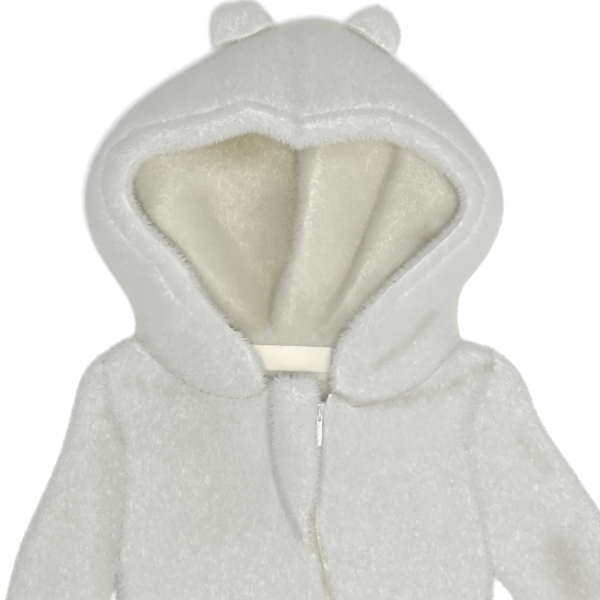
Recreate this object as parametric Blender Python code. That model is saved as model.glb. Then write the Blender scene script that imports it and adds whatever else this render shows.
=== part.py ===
"""A hooded, footed onesie of long-pile fleece with bear ears, laid on its back.

Units are metres. X is the viewer's right, +Y points from the feet to the hood, Z is up.
The floor is z = 0 and the origin lies under the middle of the neck seam.
Left and right are the viewer's. The outside of each wall is where the pile ends.

The garment is two layers of fleece that meet at its outline. The layer above is worked out
by surface_above(), the layer below by surface_below(), and the hood by hood_section().
"""

import math

import bmesh
import bpy
import numpy as np
from mathutils import Matrix, Vector

NAME = "hooded_footed_onesie"

# Cloth
WALL = 0.007
HEM_WALL = 0.011
HEM_WIDTH = 0.016
SEAM_GAP = 0.0005
ARMHOLE_EASE = 0.0005
SEAM_DIP = 0.0012
FOLD_MERGE = 3
LAID_HEIGHT = 0.017

# Rise of the chest towards the neck
NECK_RISE = 0.018
NECK_MIDDLE = (0.004, -0.008)
NECK_REACH = (0.070, 0.045)

# Levels along the body
UNDERARM_LEFT = (-0.1098, -0.1164)
UNDERARM_RIGHT = (0.1146, -0.1194)
CROTCH = (0.0030, -0.3220)
ANKLE_Y = -0.4620

# Zip
LIP_WALL = 0.0024
LIP_REACH = 0.006
TAPE_REACH = 0.0115
TAPE_WALL = 0.0008
TAPE_DEPTH = 0.0053
CHAIN_WIDTH = 0.0030
CHAIN_WALL = 0.0018
CHAIN_DEPTH = 0.0048
ZIP_END_Y = -0.4500
ZIP_TOP_Y = -0.0095
TAPE_TOP_Y = -0.0150

# Slider and pull
SLIDER_Y = -0.0220
SLIDER_LENGTH = 0.0100
SLIDER_WIDTH = 0.0070
PLATE_WALL = 0.0010
PLATE_DEPTH = 0.0035
SLIDER_HEIGHT = 0.0046
ARCH_WIRE = 0.0005
ARCH_LENGTH = 0.0060
HINGE_LIFT = 0.0012
PULL_WALL = 0.0009
PULL_HALF_WIDTH = 0.00155
PULL_LENGTH = 0.0200
EYE_HALF_WIDTH = 0.00080
EYE_END_Y = -0.0042
POST_WIDTH = 0.0016
POST_LENGTH = 0.0040
POST_Y = 0.0015
ARCH_ROUND = 0.0012

# Label
LABEL_SIZE = (0.0520, 0.0156)
LABEL_MIDDLE = (-0.0070, 0.0105)
LABEL_TILT = math.radians(-2.0)
LABEL_WALL = 0.0006

# Zip guard
GUARD_WALL = 0.0042
GUARD_EDGE_WALL = 0.0012


def table(columns, *rows):
    """Rows of numbers as one array for each named column."""
    return {name: np.array(values) for name, values in zip(columns.split(), zip(*rows))}


# The hood's halves, from the top of the face round the side to the front of the neck.
# The rim is the edge of the face opening and the edge is the hood's outline from above.
HOOD_LEFT = table(
    "rim_x rim_y rim_z edge_x edge_y edge_z",
    (-0.0012, 0.1368, 0.054, -0.0024, 0.2130, 0.022),
    (-0.0144, 0.1428, 0.055, -0.0204, 0.2076, 0.022),
    (-0.0300, 0.1476, 0.055, -0.0384, 0.2004, 0.022),
    (-0.0504, 0.1404, 0.054, -0.0576, 0.1890, 0.023),
    (-0.0720, 0.1356, 0.053, -0.0822, 0.1740, 0.024),
    (-0.0888, 0.1326, 0.052, -0.1032, 0.1572, 0.025),
    (-0.0984, 0.1248, 0.052, -0.1188, 0.1368, 0.026),
    (-0.1014, 0.1128, 0.052, -0.1272, 0.1164, 0.026),
    (-0.0972, 0.1008, 0.052, -0.1278, 0.0948, 0.026),
    (-0.0852, 0.0852, 0.052, -0.1212, 0.0756, 0.025),
    (-0.0684, 0.0696, 0.051, -0.1110, 0.0600, 0.023),
    (-0.0576, 0.0492, 0.049, -0.1038, 0.0492, 0.020),
    (-0.0432, 0.0336, 0.046, -0.1008, 0.0420, 0.016),
    (-0.0276, 0.0180, 0.041, -0.0984, 0.0336, 0.012),
    (-0.0180, -0.0050, 0.034, -0.0984, 0.0246, 0.009),
)
HOOD_RIGHT = table(
    "rim_x rim_y rim_z edge_x edge_y edge_z",
    (-0.0012, 0.1368, 0.054, -0.0024, 0.2130, 0.022),
    (0.0132, 0.1392, 0.054, 0.0156, 0.2142, 0.022),
    (0.0312, 0.1422, 0.054, 0.0330, 0.2058, 0.022),
    (0.0504, 0.1422, 0.053, 0.0510, 0.1938, 0.023),
    (0.0672, 0.1356, 0.052, 0.0696, 0.1794, 0.024),
    (0.0840, 0.1248, 0.052, 0.0882, 0.1608, 0.025),
    (0.0948, 0.1128, 0.052, 0.1044, 0.1416, 0.026),
    (0.0972, 0.1008, 0.052, 0.1176, 0.1218, 0.026),
    (0.0912, 0.0912, 0.052, 0.1218, 0.1026, 0.026),
    (0.0816, 0.0816, 0.052, 0.1182, 0.0846, 0.025),
    (0.0600, 0.0624, 0.051, 0.1080, 0.0672, 0.023),
    (0.0432, 0.0468, 0.049, 0.0984, 0.0558, 0.020),
    (0.0288, 0.0300, 0.046, 0.0954, 0.0456, 0.016),
    (0.0186, 0.0130, 0.041, 0.0948, 0.0336, 0.012),
    (0.0180, -0.0095, 0.034, 0.0966, 0.0210, 0.009),
)

# Middle of the neck seam on each front, where it hangs lowest
NECK_LOW_LEFT = (-0.0564, -0.0108)
NECK_LOW_RIGHT = (0.0560, -0.0160)

# The hood's centre seam along the floor, from under the crown to the nape
CENTRE_SEAM = table(
    "y x",
    (0.020, -0.0174),
    (0.036, -0.0168),
    (0.058, -0.0120),
    (0.077, -0.0036),
    (0.106, 0.0000),
    (0.150, -0.0010),
)

# Folds of the hood's back, fanning out from the nape. Left and right are the widths of a
# fold's two flanks at its far end, and they shrink towards the nape.
HOOD_FOLDS = table(
    "near_x near_y far_x far_y height left right",
    (-0.0230, 0.026, -0.0800, 0.108, 0.014, 0.018, 0.028),
    (-0.0190, 0.028, -0.0130, 0.120, 0.006, 0.018, 0.014),
    (-0.0100, 0.026, 0.0110, 0.140, 0.019, 0.014, 0.036),
    (0.0140, 0.030, 0.0740, 0.118, 0.014, 0.020, 0.024),
)

# Creases of the layer above: soft troughs along short lines
CREASES = table(
    "from_x from_y to_x to_y depth width",
    (0.0744, 0.0336, 0.0456, 0.0072, 0.0030, 0.008),
    (-0.1030, -0.0036, -0.0670, -0.0072, 0.0022, 0.007),
    (0.1560, -0.1030, 0.1660, -0.1270, 0.0040, 0.010),
    (-0.1440, -0.0576, -0.1180, -0.0660, 0.0022, 0.011),
    (0.1180, 0.0084, 0.0890, -0.0050, 0.0024, 0.006),
)

# Front armhole seams, from the shoulder to the underarm
ARMHOLE_LEFT = table(
    "x y",
    (-0.1212, 0.0120),
    (-0.1170, -0.0100),
    (-0.1080, -0.0340),
    (-0.1052, -0.0560),
    (-0.1066, -0.0860),
    UNDERARM_LEFT,
)
ARMHOLE_RIGHT = table(
    "x y",
    (0.1182, 0.0156),
    (0.1110, -0.0040),
    (0.1010, -0.0260),
    (0.0996, -0.0400),
    (0.1060, -0.0700),
    UNDERARM_RIGHT,
)

# Sleeves, from the armhole to the cuff
SLEEVE_LEFT = table(
    "outer_x outer_y inner_x inner_y",
    (-0.1212, 0.0120, -0.1098, -0.1164),
    (-0.1320, -0.0020, -0.1106, -0.1215),
    (-0.1396, -0.0360, -0.1122, -0.1310),
    (-0.1524, -0.0684, -0.1148, -0.1440),
    (-0.1690, -0.1040, -0.1180, -0.1610),
    (-0.1775, -0.1400, -0.1225, -0.1820),
    (-0.1900, -0.1850, -0.1275, -0.2040),
)
SLEEVE_RIGHT = table(
    "outer_x outer_y inner_x inner_y",
    (0.1182, 0.0156, 0.1146, -0.1194),
    (0.1335, 0.0010, 0.1180, -0.1225),
    (0.1420, -0.0230, 0.1240, -0.1290),
    (0.1554, -0.0450, 0.1310, -0.1390),
    (0.1800, -0.0804, 0.1430, -0.1540),
    (0.2010, -0.1160, 0.1570, -0.1730),
    (0.2260, -0.1560, 0.1720, -0.1900),
)

# Side seams and inner legs, from the underarm to the ankle
SIDES = table(
    "y left right",
    (-0.1164, -0.1098, 0.1146),
    (-0.1400, -0.1085, 0.1156),
    (-0.2000, -0.1120, 0.1180),
    (-0.2600, -0.1175, 0.1232),
    (-0.3100, -0.1170, 0.1230),
    (-0.3600, -0.1120, 0.1180),
    (-0.4100, -0.1010, 0.1070),
    (-0.4620, -0.0900, 0.0960),
)
INNER_LEGS = table(
    "y left right",
    (-0.3220, 0.0030, 0.0030),
    (-0.3400, -0.0070, 0.0130),
    (-0.3800, -0.0150, 0.0210),
    (-0.4200, -0.0200, 0.0260),
    (-0.4620, -0.0240, 0.0300),
)

# Feet, as half widths along a middle line that splays outwards
FOOT = table(
    "along half splay",
    (0.000, 0.0330, 0.0000),
    (0.025, 0.0335, 0.0010),
    (0.050, 0.0350, 0.0030),
    (0.068, 0.0325, 0.0045),
    (0.080, 0.0260, 0.0055),
    (0.088, 0.0160, 0.0060),
    (0.091, 0.0050, 0.0062),
)

# The zip's line, from the neck to the ankle
ZIP_LINE = table(
    "y x",
    (-0.452, 0.0620),
    (-0.400, 0.0600),
    (-0.350, 0.0560),
    (-0.310, 0.0500),
    (-0.260, 0.0400),
    (-0.210, 0.0310),
    (-0.170, 0.0240),
    (-0.134, 0.0180),
    (-0.115, 0.0144),
    (-0.098, 0.0098),
    (-0.084, 0.0082),
    (-0.066, 0.0104),
    (-0.045, 0.0120),
    (-0.022, 0.0117),
    (-0.006, 0.0150),
)

# Half the slit between the two fronts, wider for the slider and the open top
SLIT = table(
    "y half",
    (-0.470, 0.0004),
    (-0.060, 0.0004),
    (-0.034, 0.0008),
    (-0.026, 0.0016),
    (-0.017, 0.0017),
    (-0.006, 0.0030),
)

# The zip guard, from its top to its point
GUARD = table(
    "y left right",
    (-0.001, -0.0120, 0.0060),
    (-0.004, -0.0158, 0.0095),
    (-0.012, -0.0168, 0.0098),
    (-0.026, -0.0166, 0.0088),
    (-0.050, -0.0144, 0.0106),
    (-0.072, -0.0096, 0.0092),
    (-0.090, -0.0030, 0.0060),
    (-0.103, 0.0024, 0.0052),
)

# Ears, from the seam on the hood to the tip
EAR_LEFT = table(
    "left_x left_y right_x right_y wall",
    (-0.0522, 0.1950, -0.0150, 0.2098, 0.0120),
    (-0.0538, 0.2040, -0.0170, 0.2130, 0.0126),
    (-0.0532, 0.2140, -0.0200, 0.2170, 0.0120),
    (-0.0510, 0.2190, -0.0245, 0.2220, 0.0105),
    (-0.0450, 0.2212, -0.0300, 0.2242, 0.0070),
)
EAR_RIGHT = table(
    "left_x left_y right_x right_y wall",
    (0.0262, 0.2108, 0.0558, 0.1912, 0.0120),
    (0.0306, 0.2140, 0.0596, 0.1974, 0.0130),
    (0.0378, 0.2182, 0.0598, 0.2050, 0.0124),
    (0.0426, 0.2206, 0.0580, 0.2118, 0.0104),
    (0.0470, 0.2208, 0.0532, 0.2172, 0.0070),
)
EAR_MIDDLE_Z = 0.0230
EAR_DROOP = 0.0060

# Nearer than this to the outline, a point is on it
ON_OUTLINE = 0.00005

# How finely the pieces are divided
HOOD_STEPS = 30
EDGE_ANGLES = (0.0, 0.45, 0.95, math.pi / 2)
HOOD_UPPER_STEPS = 4
HOOD_FLOOR_STEPS = 10
RIM_DISTANCES = (0.0, 0.0016, 0.0050, 0.0125, 0.0160, 0.0195)
ZIP_DISTANCES = (0.0, 0.002, 0.006, 0.012)
LOWER_ROWS = 6
LEG_ROWS = 5

# Colours
FLEECE = (0.80, 0.79, 0.76, 1.0)
TAPE = (0.75, 0.74, 0.70, 1.0)
SATIN = (0.80, 0.77, 0.68, 1.0)
ENAMEL = (0.86, 0.86, 0.84, 1.0)


# Curves through tables

def spline(knots, values, at):
    """A smooth curve through values at rising knots, level beyond its ends."""
    knots = np.asarray(knots, float)
    values = np.asarray(values, float)
    at = np.clip(np.asarray(at, float), knots[0], knots[-1])
    slope = np.gradient(values, knots)
    k = np.clip(np.searchsorted(knots, at, side="right") - 1, 0, len(knots) - 2)
    h = knots[k + 1] - knots[k]
    t = (at - knots[k]) / h
    low = values[k] * (1 + 2 * t) * (1 - t) ** 2 + slope[k] * h * t * (1 - t) ** 2
    high = values[k + 1] * t * t * (3 - 2 * t) - slope[k + 1] * h * t * t * (1 - t)
    return low + high


def along(rows, column, s):
    """A column's value at s, from 0 at the first row to 1 at the last."""
    values = rows[column]
    return spline(np.linspace(0.0, 1.0, len(values)), values, s)


def at_level(rows, column, y):
    """A column's value at the level y, for rows in either order."""
    order = np.argsort(rows["y"])
    return spline(rows["y"][order], rows[column][order], y)


def smooth(t):
    """0 to 1 with level ends."""
    t = np.clip(t, 0.0, 1.0)
    return t * t * (3.0 - 2.0 * t)


def mix(a, b, t):
    return a * (1.0 - t) + b * t


def unit(v):
    return v / np.maximum(np.linalg.norm(v, axis=-1, keepdims=True), 1e-12)


def zip_x(y):
    return at_level(ZIP_LINE, "x", y)


def slit_half(y):
    return np.interp(y, SLIT["y"], SLIT["half"])


# The outline of body, sleeves and legs from above

def outline_chains():
    """Three open lines round the garment, with the cloth on their left as they run.

    They leave out the hood's upper part and the open ends of the sleeves.
    """
    s = np.linspace(0.0, 1.0, 91)
    hood = np.linspace(0.72, 1.0, 31)
    levels = np.linspace(UNDERARM_LEFT[1], ANKLE_Y, 91)[1:]
    legs = np.linspace(CROTCH[1], ANKLE_Y, 41)
    sleeve_l = curve_points(SLEEVE_LEFT, "outer_x", "outer_y", s)
    inner_l = curve_points(SLEEVE_LEFT, "inner_x", "inner_y", s)
    sleeve_r = curve_points(SLEEVE_RIGHT, "outer_x", "outer_y", s)
    inner_r = curve_points(SLEEVE_RIGHT, "inner_x", "inner_y", s)
    side_l = np.stack([at_level(SIDES, "left", levels), levels], -1)
    side_r = np.stack([at_level(SIDES, "right", levels), levels], -1)
    leg_l = np.stack([at_level(INNER_LEGS, "left", legs), legs], -1)
    leg_r = np.stack([at_level(INNER_LEGS, "right", legs), legs], -1)
    foot_l = foot_outline("left")
    foot_r = foot_outline("right")
    first = [curve_points(HOOD_LEFT, "edge_x", "edge_y", hood), sleeve_l]
    below_arms = [inner_l[::-1], side_l, foot_l, leg_l[::-1][:-1]]
    below_arms += [leg_r, foot_r[::-1], side_r[::-1], inner_r]
    last = [sleeve_r[::-1], curve_points(HOOD_RIGHT, "edge_x", "edge_y", hood[::-1])]
    return [np.concatenate(first), np.concatenate(below_arms), np.concatenate(last)]


def curve_points(rows, x, y, s):
    return np.stack([along(rows, x, s), along(rows, y, s)], -1)


def foot_section(side, s):
    """The two ends of the foot's width at s, outer end first."""
    sign = -1.0 if side == "left" else 1.0
    side_x = -0.0570 if side == "left" else 0.0630
    down = ANKLE_Y - along(FOOT, "along", s)
    middle = side_x + sign * along(FOOT, "splay", s)
    half = along(FOOT, "half", s)
    outer = np.stack([middle + sign * half, down], -1)
    inner = np.stack([middle - sign * half, down], -1)
    return outer, inner


def foot_outline(side):
    """Round the toe from the outer ankle to the inner one."""
    outer, inner = foot_section(side, np.linspace(0.0, 1.0, 61)[1:])
    return np.concatenate([outer, inner[::-1]])


class Outline:
    """Distance and direction from the garment's outline."""

    def __init__(self, chains):
        starts, ends, normals_a, normals_b = [], [], [], []
        for chain in chains:
            keep = np.ones(len(chain), bool)
            keep[1:] = np.linalg.norm(np.diff(chain, axis=0), axis=1) > 1e-7
            chain = chain[keep]
            step = unit(np.diff(chain, axis=0))
            left = np.stack([-step[:, 1], step[:, 0]], -1)
            corner = np.concatenate([left[:1], unit(left[:-1] + left[1:]), left[-1:]])
            starts.append(chain[:-1])
            ends.append(chain[1:])
            normals_a.append(corner[:-1])
            normals_b.append(corner[1:])
        self.a = np.concatenate(starts)
        self.b = np.concatenate(ends)
        self.na = np.concatenate(normals_a)
        self.nb = np.concatenate(normals_b)

    def nearest(self, xy):
        """Distance to the outline and the unit direction away from it, into the cloth."""
        flat = xy.reshape(-1, 2)
        span = self.b - self.a
        length2 = (span**2).sum(-1)
        t = ((flat[:, None] - self.a) * span).sum(-1) / length2
        t = np.clip(t, 0.0, 1.0)
        gap = flat[:, None] - (self.a + t[..., None] * span)
        far2 = (gap**2).sum(-1)
        k = far2.argmin(1)
        rows = np.arange(len(flat))
        distance = np.sqrt(far2[rows, k])
        tk = t[rows, k][:, None]
        at_edge = unit(mix(self.na[k], self.nb[k], tk))
        away = gap[rows, k] / np.maximum(distance, 1e-12)[:, None]
        distance = np.where(distance < ON_OUTLINE, 0.0, distance)
        inward = np.where(distance[:, None] == 0.0, at_edge, away)
        return distance.reshape(xy.shape[:-1]), inward.reshape(xy.shape)


OUTLINE = Outline(outline_chains())


# The two layers

def full_height(xy):
    """Height of the layer above, clear of the outline."""
    dx = (xy[..., 0] - NECK_MIDDLE[0]) / NECK_REACH[0]
    dy = (xy[..., 1] - NECK_MIDDLE[1]) / NECK_REACH[1]
    return LAID_HEIGHT + NECK_RISE * np.exp(-(dx**2) - dy**2)


def crease_depth(xy):
    """How far the creases sink the layer above."""
    depth = np.zeros(xy.shape[:-1])
    for row in zip(*CREASES.values()):
        start = np.array(row[0:2])
        span = np.array(row[2:4]) - start
        t = ((xy - start) @ span) / (span @ span)
        clipped = np.clip(t, 0.0, 1.0)
        off = np.linalg.norm(xy - start - clipped[..., None] * span, axis=-1)
        depth += row[4] * np.exp(-((off / row[5]) ** 2))
    return depth


def layer(xy, up):
    """Points and outward normals of the layer above (up = 1) or below (up = -1)."""
    height = full_height(xy)
    middle = height / 2
    distance, inward = OUTLINE.nearest(xy)
    cos = np.clip(1.0 - distance / middle, 0.0, 1.0)
    sin = np.sqrt(1.0 - cos**2)
    z = middle + up * middle * sin
    if up > 0:
        z = z - crease_depth(xy) * sin
    points = np.concatenate([xy, z[..., None]], -1)
    normals = np.concatenate([-inward * cos[..., None], (up * sin)[..., None]], -1)
    return points, unit(normals)


def surface_above(xy):
    return layer(xy, 1.0)


def surface_below(xy):
    return layer(xy, -1.0)


# The hood

def neck_low(side):
    return np.array(NECK_LOW_LEFT if side == "left" else NECK_LOW_RIGHT)


def hood_rows(side):
    return HOOD_LEFT if side == "left" else HOOD_RIGHT


def neck_path(side, p):
    """The neck seam from the front corner (p = 0) to the side of the neck (p = 1)."""
    rows = hood_rows(side)
    a = np.array([rows["rim_x"][-1], rows["rim_y"][-1]])
    b = np.array([rows["edge_x"][-1], rows["edge_y"][-1]])
    p = np.asarray(p)[..., None]
    wide = (1 - p) * (1 - 2 * p) * a + 4 * p * (1 - p) * neck_low(side)
    return wide + p * (2 * p - 1) * b


def centre_seam(s):
    y = mix(CENTRE_SEAM["y"][-1], CENTRE_SEAM["y"][0], smooth(s))
    return np.stack([at_level(CENTRE_SEAM, "x", y), y], -1)


def fold_height(xy):
    """Height of the folds that fan out over the hood's back, merged softly."""
    total = np.zeros(xy.shape[:-1])
    for row in zip(*HOOD_FOLDS.values()):
        near = np.array(row[0:2])
        span = np.array(row[2:4]) - near
        length = np.linalg.norm(span)
        ahead = span / length
        right = np.array([ahead[1], -ahead[0]])
        t = ((xy - near) @ ahead) / length
        off = (xy - near) @ right
        shrink = 0.4 + 0.6 * np.clip(t, 0.0, 1.2)
        width = np.where(off < 0, row[5], row[6]) * shrink
        profile = np.cos(np.clip(off / width, -1.0, 1.0) * math.pi / 2) ** 2
        ends = smooth((t + 0.08) / 0.16) * smooth((1.45 - t) / 0.5)
        total += (row[4] * profile * ends) ** FOLD_MERGE
    return total ** (1.0 / FOLD_MERGE)


def hood_section(side, s, floor_steps, upper_steps, angles, rim_distances):
    """One strip of the hood at s, from the rim over the edge and along the floor.

    Returns the outside's points and normals and the wall there.
    """
    rows = hood_rows(side)
    rim = np.array([along(rows, "rim_x", s), along(rows, "rim_y", s)])
    edge = np.array([along(rows, "edge_x", s), along(rows, "edge_y", s)])
    rim_z = float(along(rows, "rim_z", s))
    edge_z = float(along(rows, "edge_z", s))
    to_neck = float(smooth((s - 0.72) / 0.28))
    reach = np.linalg.norm(edge - rim)

    # Upper arc, from the rim to the edge
    hem_p = np.array(rim_distances) / reach
    phi = np.linspace(math.acos(min(hem_p[-1], 0.999)), 0.0, upper_steps + 1)[1:]
    p = np.concatenate([hem_p, np.cos(phi)])
    rim_to_edge = mix(rim, edge, p[:, None])
    sag = neck_path(side, p) - mix(neck_path(side, 0.0), neck_path(side, 1.0), p[:, None])
    plan = rim_to_edge + to_neck * sag
    out = unit(edge - rim)
    sin = np.sqrt(np.clip(1.0 - p**2, 0.0, 1.0))
    rise = rim_z - edge_z
    z = edge_z + rise * sin - crease_depth(plan) * sin
    flat = out * (p / reach)[:, None]
    normal = unit(np.concatenate([flat, (sin / rise)[:, None]], -1))
    points = np.concatenate([plan, z[:, None]], -1)
    neck_points, neck_normals = surface_above(plan)
    points[:, 2] = mix(points[:, 2], neck_points[:, 2], to_neck)
    normal = unit(mix(normal, neck_normals, to_neck))
    distance = p * reach
    wall = np.where(distance < HEM_WIDTH - 0.0005, HEM_WALL, WALL)

    # Lower arc and floor, from the edge to the centre seam
    seam = centre_seam(s)
    floor_reach = np.linalg.norm(seam - edge)
    inwards = (seam - edge) / floor_reach
    angle = np.array(angles[1:])
    arc = edge_z * (1.0 - np.cos(angle))
    rest = np.linspace(arc[-1], floor_reach, floor_steps + 1)[1:]
    gone = np.concatenate([arc, rest])
    low_plan = edge + gone[:, None] * inwards
    turn = np.concatenate([angle, np.full(floor_steps, math.pi / 2)])
    low_z = edge_z * (1.0 - np.sin(turn))
    low_flat = -inwards * np.cos(turn)[:, None]
    low_normal = np.concatenate([low_flat, -np.sin(turn)[:, None]], -1)
    low_points = np.concatenate([low_plan, low_z[:, None]], -1)
    under, under_normal = surface_below(low_plan)
    low_points[:, 2] = mix(low_points[:, 2], under[:, 2], to_neck)
    low_normal = unit(mix(low_normal, under_normal, to_neck))
    lift = fold_height(low_plan) * smooth((gone - arc[-1]) / 0.020)
    lift = lift * smooth((1.0 - s) / 0.10)
    low_points[:, 2] += lift

    points = np.concatenate([points, low_points])
    normal = np.concatenate([normal, low_normal])
    wall = np.concatenate([wall, np.full(len(low_points), WALL)])
    return points, normal, wall, distance


def rounded_rim(points, normal, wall, distance):
    """Rounds the thick hem's free edge."""
    half = HEM_WALL / 2
    back = np.clip(half - distance, 0.0, half)
    kept = np.maximum(np.sqrt(np.maximum(half**2 - back**2, 0.0)), 0.0012)
    inset = np.zeros(len(points))
    inset[: len(distance)] = np.where(distance < half, half - kept, 0.0)
    return points - normal * inset[:, None], wall - 2 * inset


def hood_grid(side, steps, floor_steps, upper_steps, angles, rim_distances):
    """The outside, the normals and the wall of half a hood, as grids."""
    outer, normals, walls = [], [], []
    for s in np.linspace(0.0, 1.0, steps + 1):
        points, normal, wall, distance = hood_section(
            side, s, floor_steps, upper_steps, angles, rim_distances
        )
        points, wall = rounded_rim(points, normal, wall, distance)
        outer.append(points)
        normals.append(normal)
        walls.append(wall)
    return np.array(outer), np.array(normals), np.array(walls)


# Meshes

def grid_quads(ids):
    """Quads between neighbours of a grid of point numbers."""
    a, b = ids[:-1, :-1], ids[1:, :-1]
    c, d = ids[1:, 1:], ids[:-1, 1:]
    return np.stack([a, b, c, d], -1).reshape(-1, 4).tolist()


def boundary_edges(quads):
    """Directed edges that only one quad has."""
    seen = {}
    for quad in quads:
        for a, b in zip(quad, quad[1:] + quad[:1]):
            seen[(a, b)] = True
    return [edge for edge in seen if (edge[1], edge[0]) not in seen]


def pull_back(points, quads):
    """Which way each edge point of a sheet moves, square to its edge, to leave a gap."""
    edges = boundary_edges(quads)
    along_edge = {}
    for a, b in edges:
        along_edge.setdefault(a, set()).add(b)
        along_edge.setdefault(b, set()).add(a)
    inwards = {a: set() for a in along_edge}
    for quad in quads:
        for a, b in zip(quad, quad[1:] + quad[:1]):
            if a in inwards and b not in along_edge[a]:
                inwards[a].add(b)
            if b in inwards and a not in along_edge[b]:
                inwards[b].add(a)
    moves = {}
    for a, inner in inwards.items():
        before, after = sorted(along_edge[a])
        if inner:
            total = np.sum([unit(points[b] - points[a]) for b in inner], axis=0)
            run = unit(points[after] - points[before])
            moves[a] = unit(total - (total @ run) * run)
        else:
            moves[a] = unit(points[before] - points[a]) + unit(points[after] - points[a])
    return moves


def make_object(name, points, faces, colour, roughness=0.9, metallic=0.0):
    """One closed mesh with its own material, in the garment's collection."""
    mesh = bpy.data.meshes.new(name)
    mesh.from_pydata([tuple(p) for p in points], [], faces)
    mesh.update()
    work = bmesh.new()
    work.from_mesh(mesh)
    bmesh.ops.recalc_face_normals(work, faces=work.faces)
    work.to_mesh(mesh)
    work.free()
    mesh.shade_smooth()
    mesh.set_sharp_from_angle(angle=math.radians(50))
    obj = bpy.data.objects.new(name, mesh)
    bpy.data.collections[NAME].objects.link(obj)
    give_material(obj, colour, roughness, metallic)
    return obj


def give_material(obj, colour, roughness, metallic):
    material = bpy.data.materials.new(obj.name)
    material.use_nodes = True
    shader = material.node_tree.nodes["Principled BSDF"]
    shader.inputs["Base Color"].default_value = colour
    shader.inputs["Roughness"].default_value = roughness
    shader.inputs["Metallic"].default_value = metallic
    obj.data.materials.clear()
    obj.data.materials.append(material)


def cut_faces(a, b, count, points):
    """The two triangles of a cut edge between the outside and the inside.

    Their diagonal depends on place alone, so that two cut edges that face each other match.
    """
    step = points[b] - points[a]
    axis = next((k for k in range(3) if abs(step[k]) > 0.001), 0)
    if step[axis] > 0:
        return [[b, a, b + count], [a, a + count, b + count]]
    return [[b, a, a + count], [b, a + count, b + count]]


def add_sheet(name, points, normals, wall, quads, colour, dip=SEAM_DIP):
    """A wall of cloth: an outside, an inside one wall further in, and its cut edges."""
    outer = points.copy()
    inner = points - normals * wall[:, None]
    for a, move in pull_back(points, quads).items():
        outer[a] += move * SEAM_GAP / 2 - normals[a] * dip
        inner[a] += move * SEAM_GAP / 2
    count = len(points)
    faces = [list(quad) for quad in quads]
    faces += [[a + count for a in reversed(quad)] for quad in quads]
    for a, b in boundary_edges(quads):
        faces += cut_faces(a, b, count, points)
    return make_object(name, np.concatenate([outer, inner]), faces, colour)


def add_grid(name, outer, normals, walls, colour, dip=SEAM_DIP):
    rows, columns = outer.shape[:2]
    ids = np.arange(rows * columns).reshape(rows, columns)
    flat = (outer.reshape(-1, 3), normals.reshape(-1, 3), walls.reshape(-1))
    return add_sheet(name, *flat, grid_quads(ids), colour, dip)


# How the panels are divided

def edge_clear(height=LAID_HEIGHT):
    """Distances from the outline that follow its rounding."""
    return [height / 2 * (1.0 - math.cos(a)) for a in EDGE_ANGLES]


def spread(width, first, middle, last):
    """Fractions of a width: set distances at both ends and even steps between."""
    start = [d / width for d in first]
    end = [1.0 - d / width for d in last][::-1]
    between = np.linspace(start[-1], end[0], middle + 2)[1:-1]
    return np.array(start + list(between) + end)


def armhole_points(side):
    """The armhole seam in plan, from the shoulder to the underarm."""
    rows = ARMHOLE_LEFT if side == "left" else ARMHOLE_RIGHT
    u = spread(0.13, edge_clear(), 5, edge_clear())
    return curve_points(rows, "x", "y", u), u


def neck_columns(side):
    """The hood's upper points at its neck end, from the side of the neck to the front."""
    points, _, _, distance = hood_section(
        side, 1.0, HOOD_FLOOR_STEPS, HOOD_UPPER_STEPS, EDGE_ANGLES, RIM_DISTANCES
    )
    return points[: len(distance), :2][::-1]


def nape_columns(side):
    """The hood's lower points at its neck end, from the side of the neck to the nape."""
    points, _, _, distance = hood_section(
        side, 1.0, HOOD_FLOOR_STEPS, HOOD_UPPER_STEPS, EDGE_ANGLES, RIM_DISTANCES
    )
    arc = points[len(distance) - 1 : len(distance) + len(EDGE_ANGLES) - 1, :2]
    return np.concatenate([arc, mix(arc[-1], points[-1, :2], np.array([[0.33], [0.67], [1.0]]))])


def path_fractions(path):
    steps = np.linalg.norm(np.diff(path, axis=0), axis=1)
    total = np.concatenate([[0.0], np.cumsum(steps)])
    return total / total[-1]


def row_levels():
    """Levels of the rows below the underarm, down to the crotch and to the ankle."""
    lower = np.linspace(-0.1164, CROTCH[1], LOWER_ROWS + 1)[1:]
    legs = np.linspace(CROTCH[1], ANKLE_Y, LEG_ROWS + 1)[1:]
    return lower, legs


def body_rows(top, edges, others, low_fractions):
    """Plan rows of a panel, from its top line down to the crotch.

    edges and others are the two ends of each row. The top line's own shape fades out over
    the first rows.
    """
    top_fractions = path_fractions(top)
    own = top - mix(top[0], top[-1], top_fractions[:, None])
    rows = []
    count = len(edges)
    for k in range(count):
        width = np.linalg.norm(others[k] - edges[k])
        t = smooth(k / 12.0)
        fractions = mix(top_fractions, low_fractions(width), t)
        fade = (1.0 - smooth(k / 13.0))
        rows.append(mix(edges[k], others[k], fractions[:, None]) + fade * own)
    return np.array(rows)


def zip_edge(level, sign):
    """A front's edge along the slit: sign -1 for the left front, 1 for the right."""
    return np.stack([zip_x(level) + sign * slit_half(level), level], -1)


def front_rows(side):
    """Ends of a front's rows down to the crotch, outer end and zip end."""
    arm, _ = armhole_points(side)
    lower, _ = row_levels()
    column = "left" if side == "left" else "right"
    low_edges = np.stack([at_level(SIDES, column, lower), lower], -1)
    edges = np.concatenate([arm, low_edges])
    fall = path_fractions(armhole_points("left")[0])
    levels = np.concatenate([mix(ZIP_TOP_Y, UNDERARM_LEFT[1], fall), lower])
    zips = zip_edge(levels, -1.0 if side == "left" else 1.0)
    if side == "right":
        zips[0] = HOOD_RIGHT["rim_x"][-1], HOOD_RIGHT["rim_y"][-1]
    return edges, zips


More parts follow.
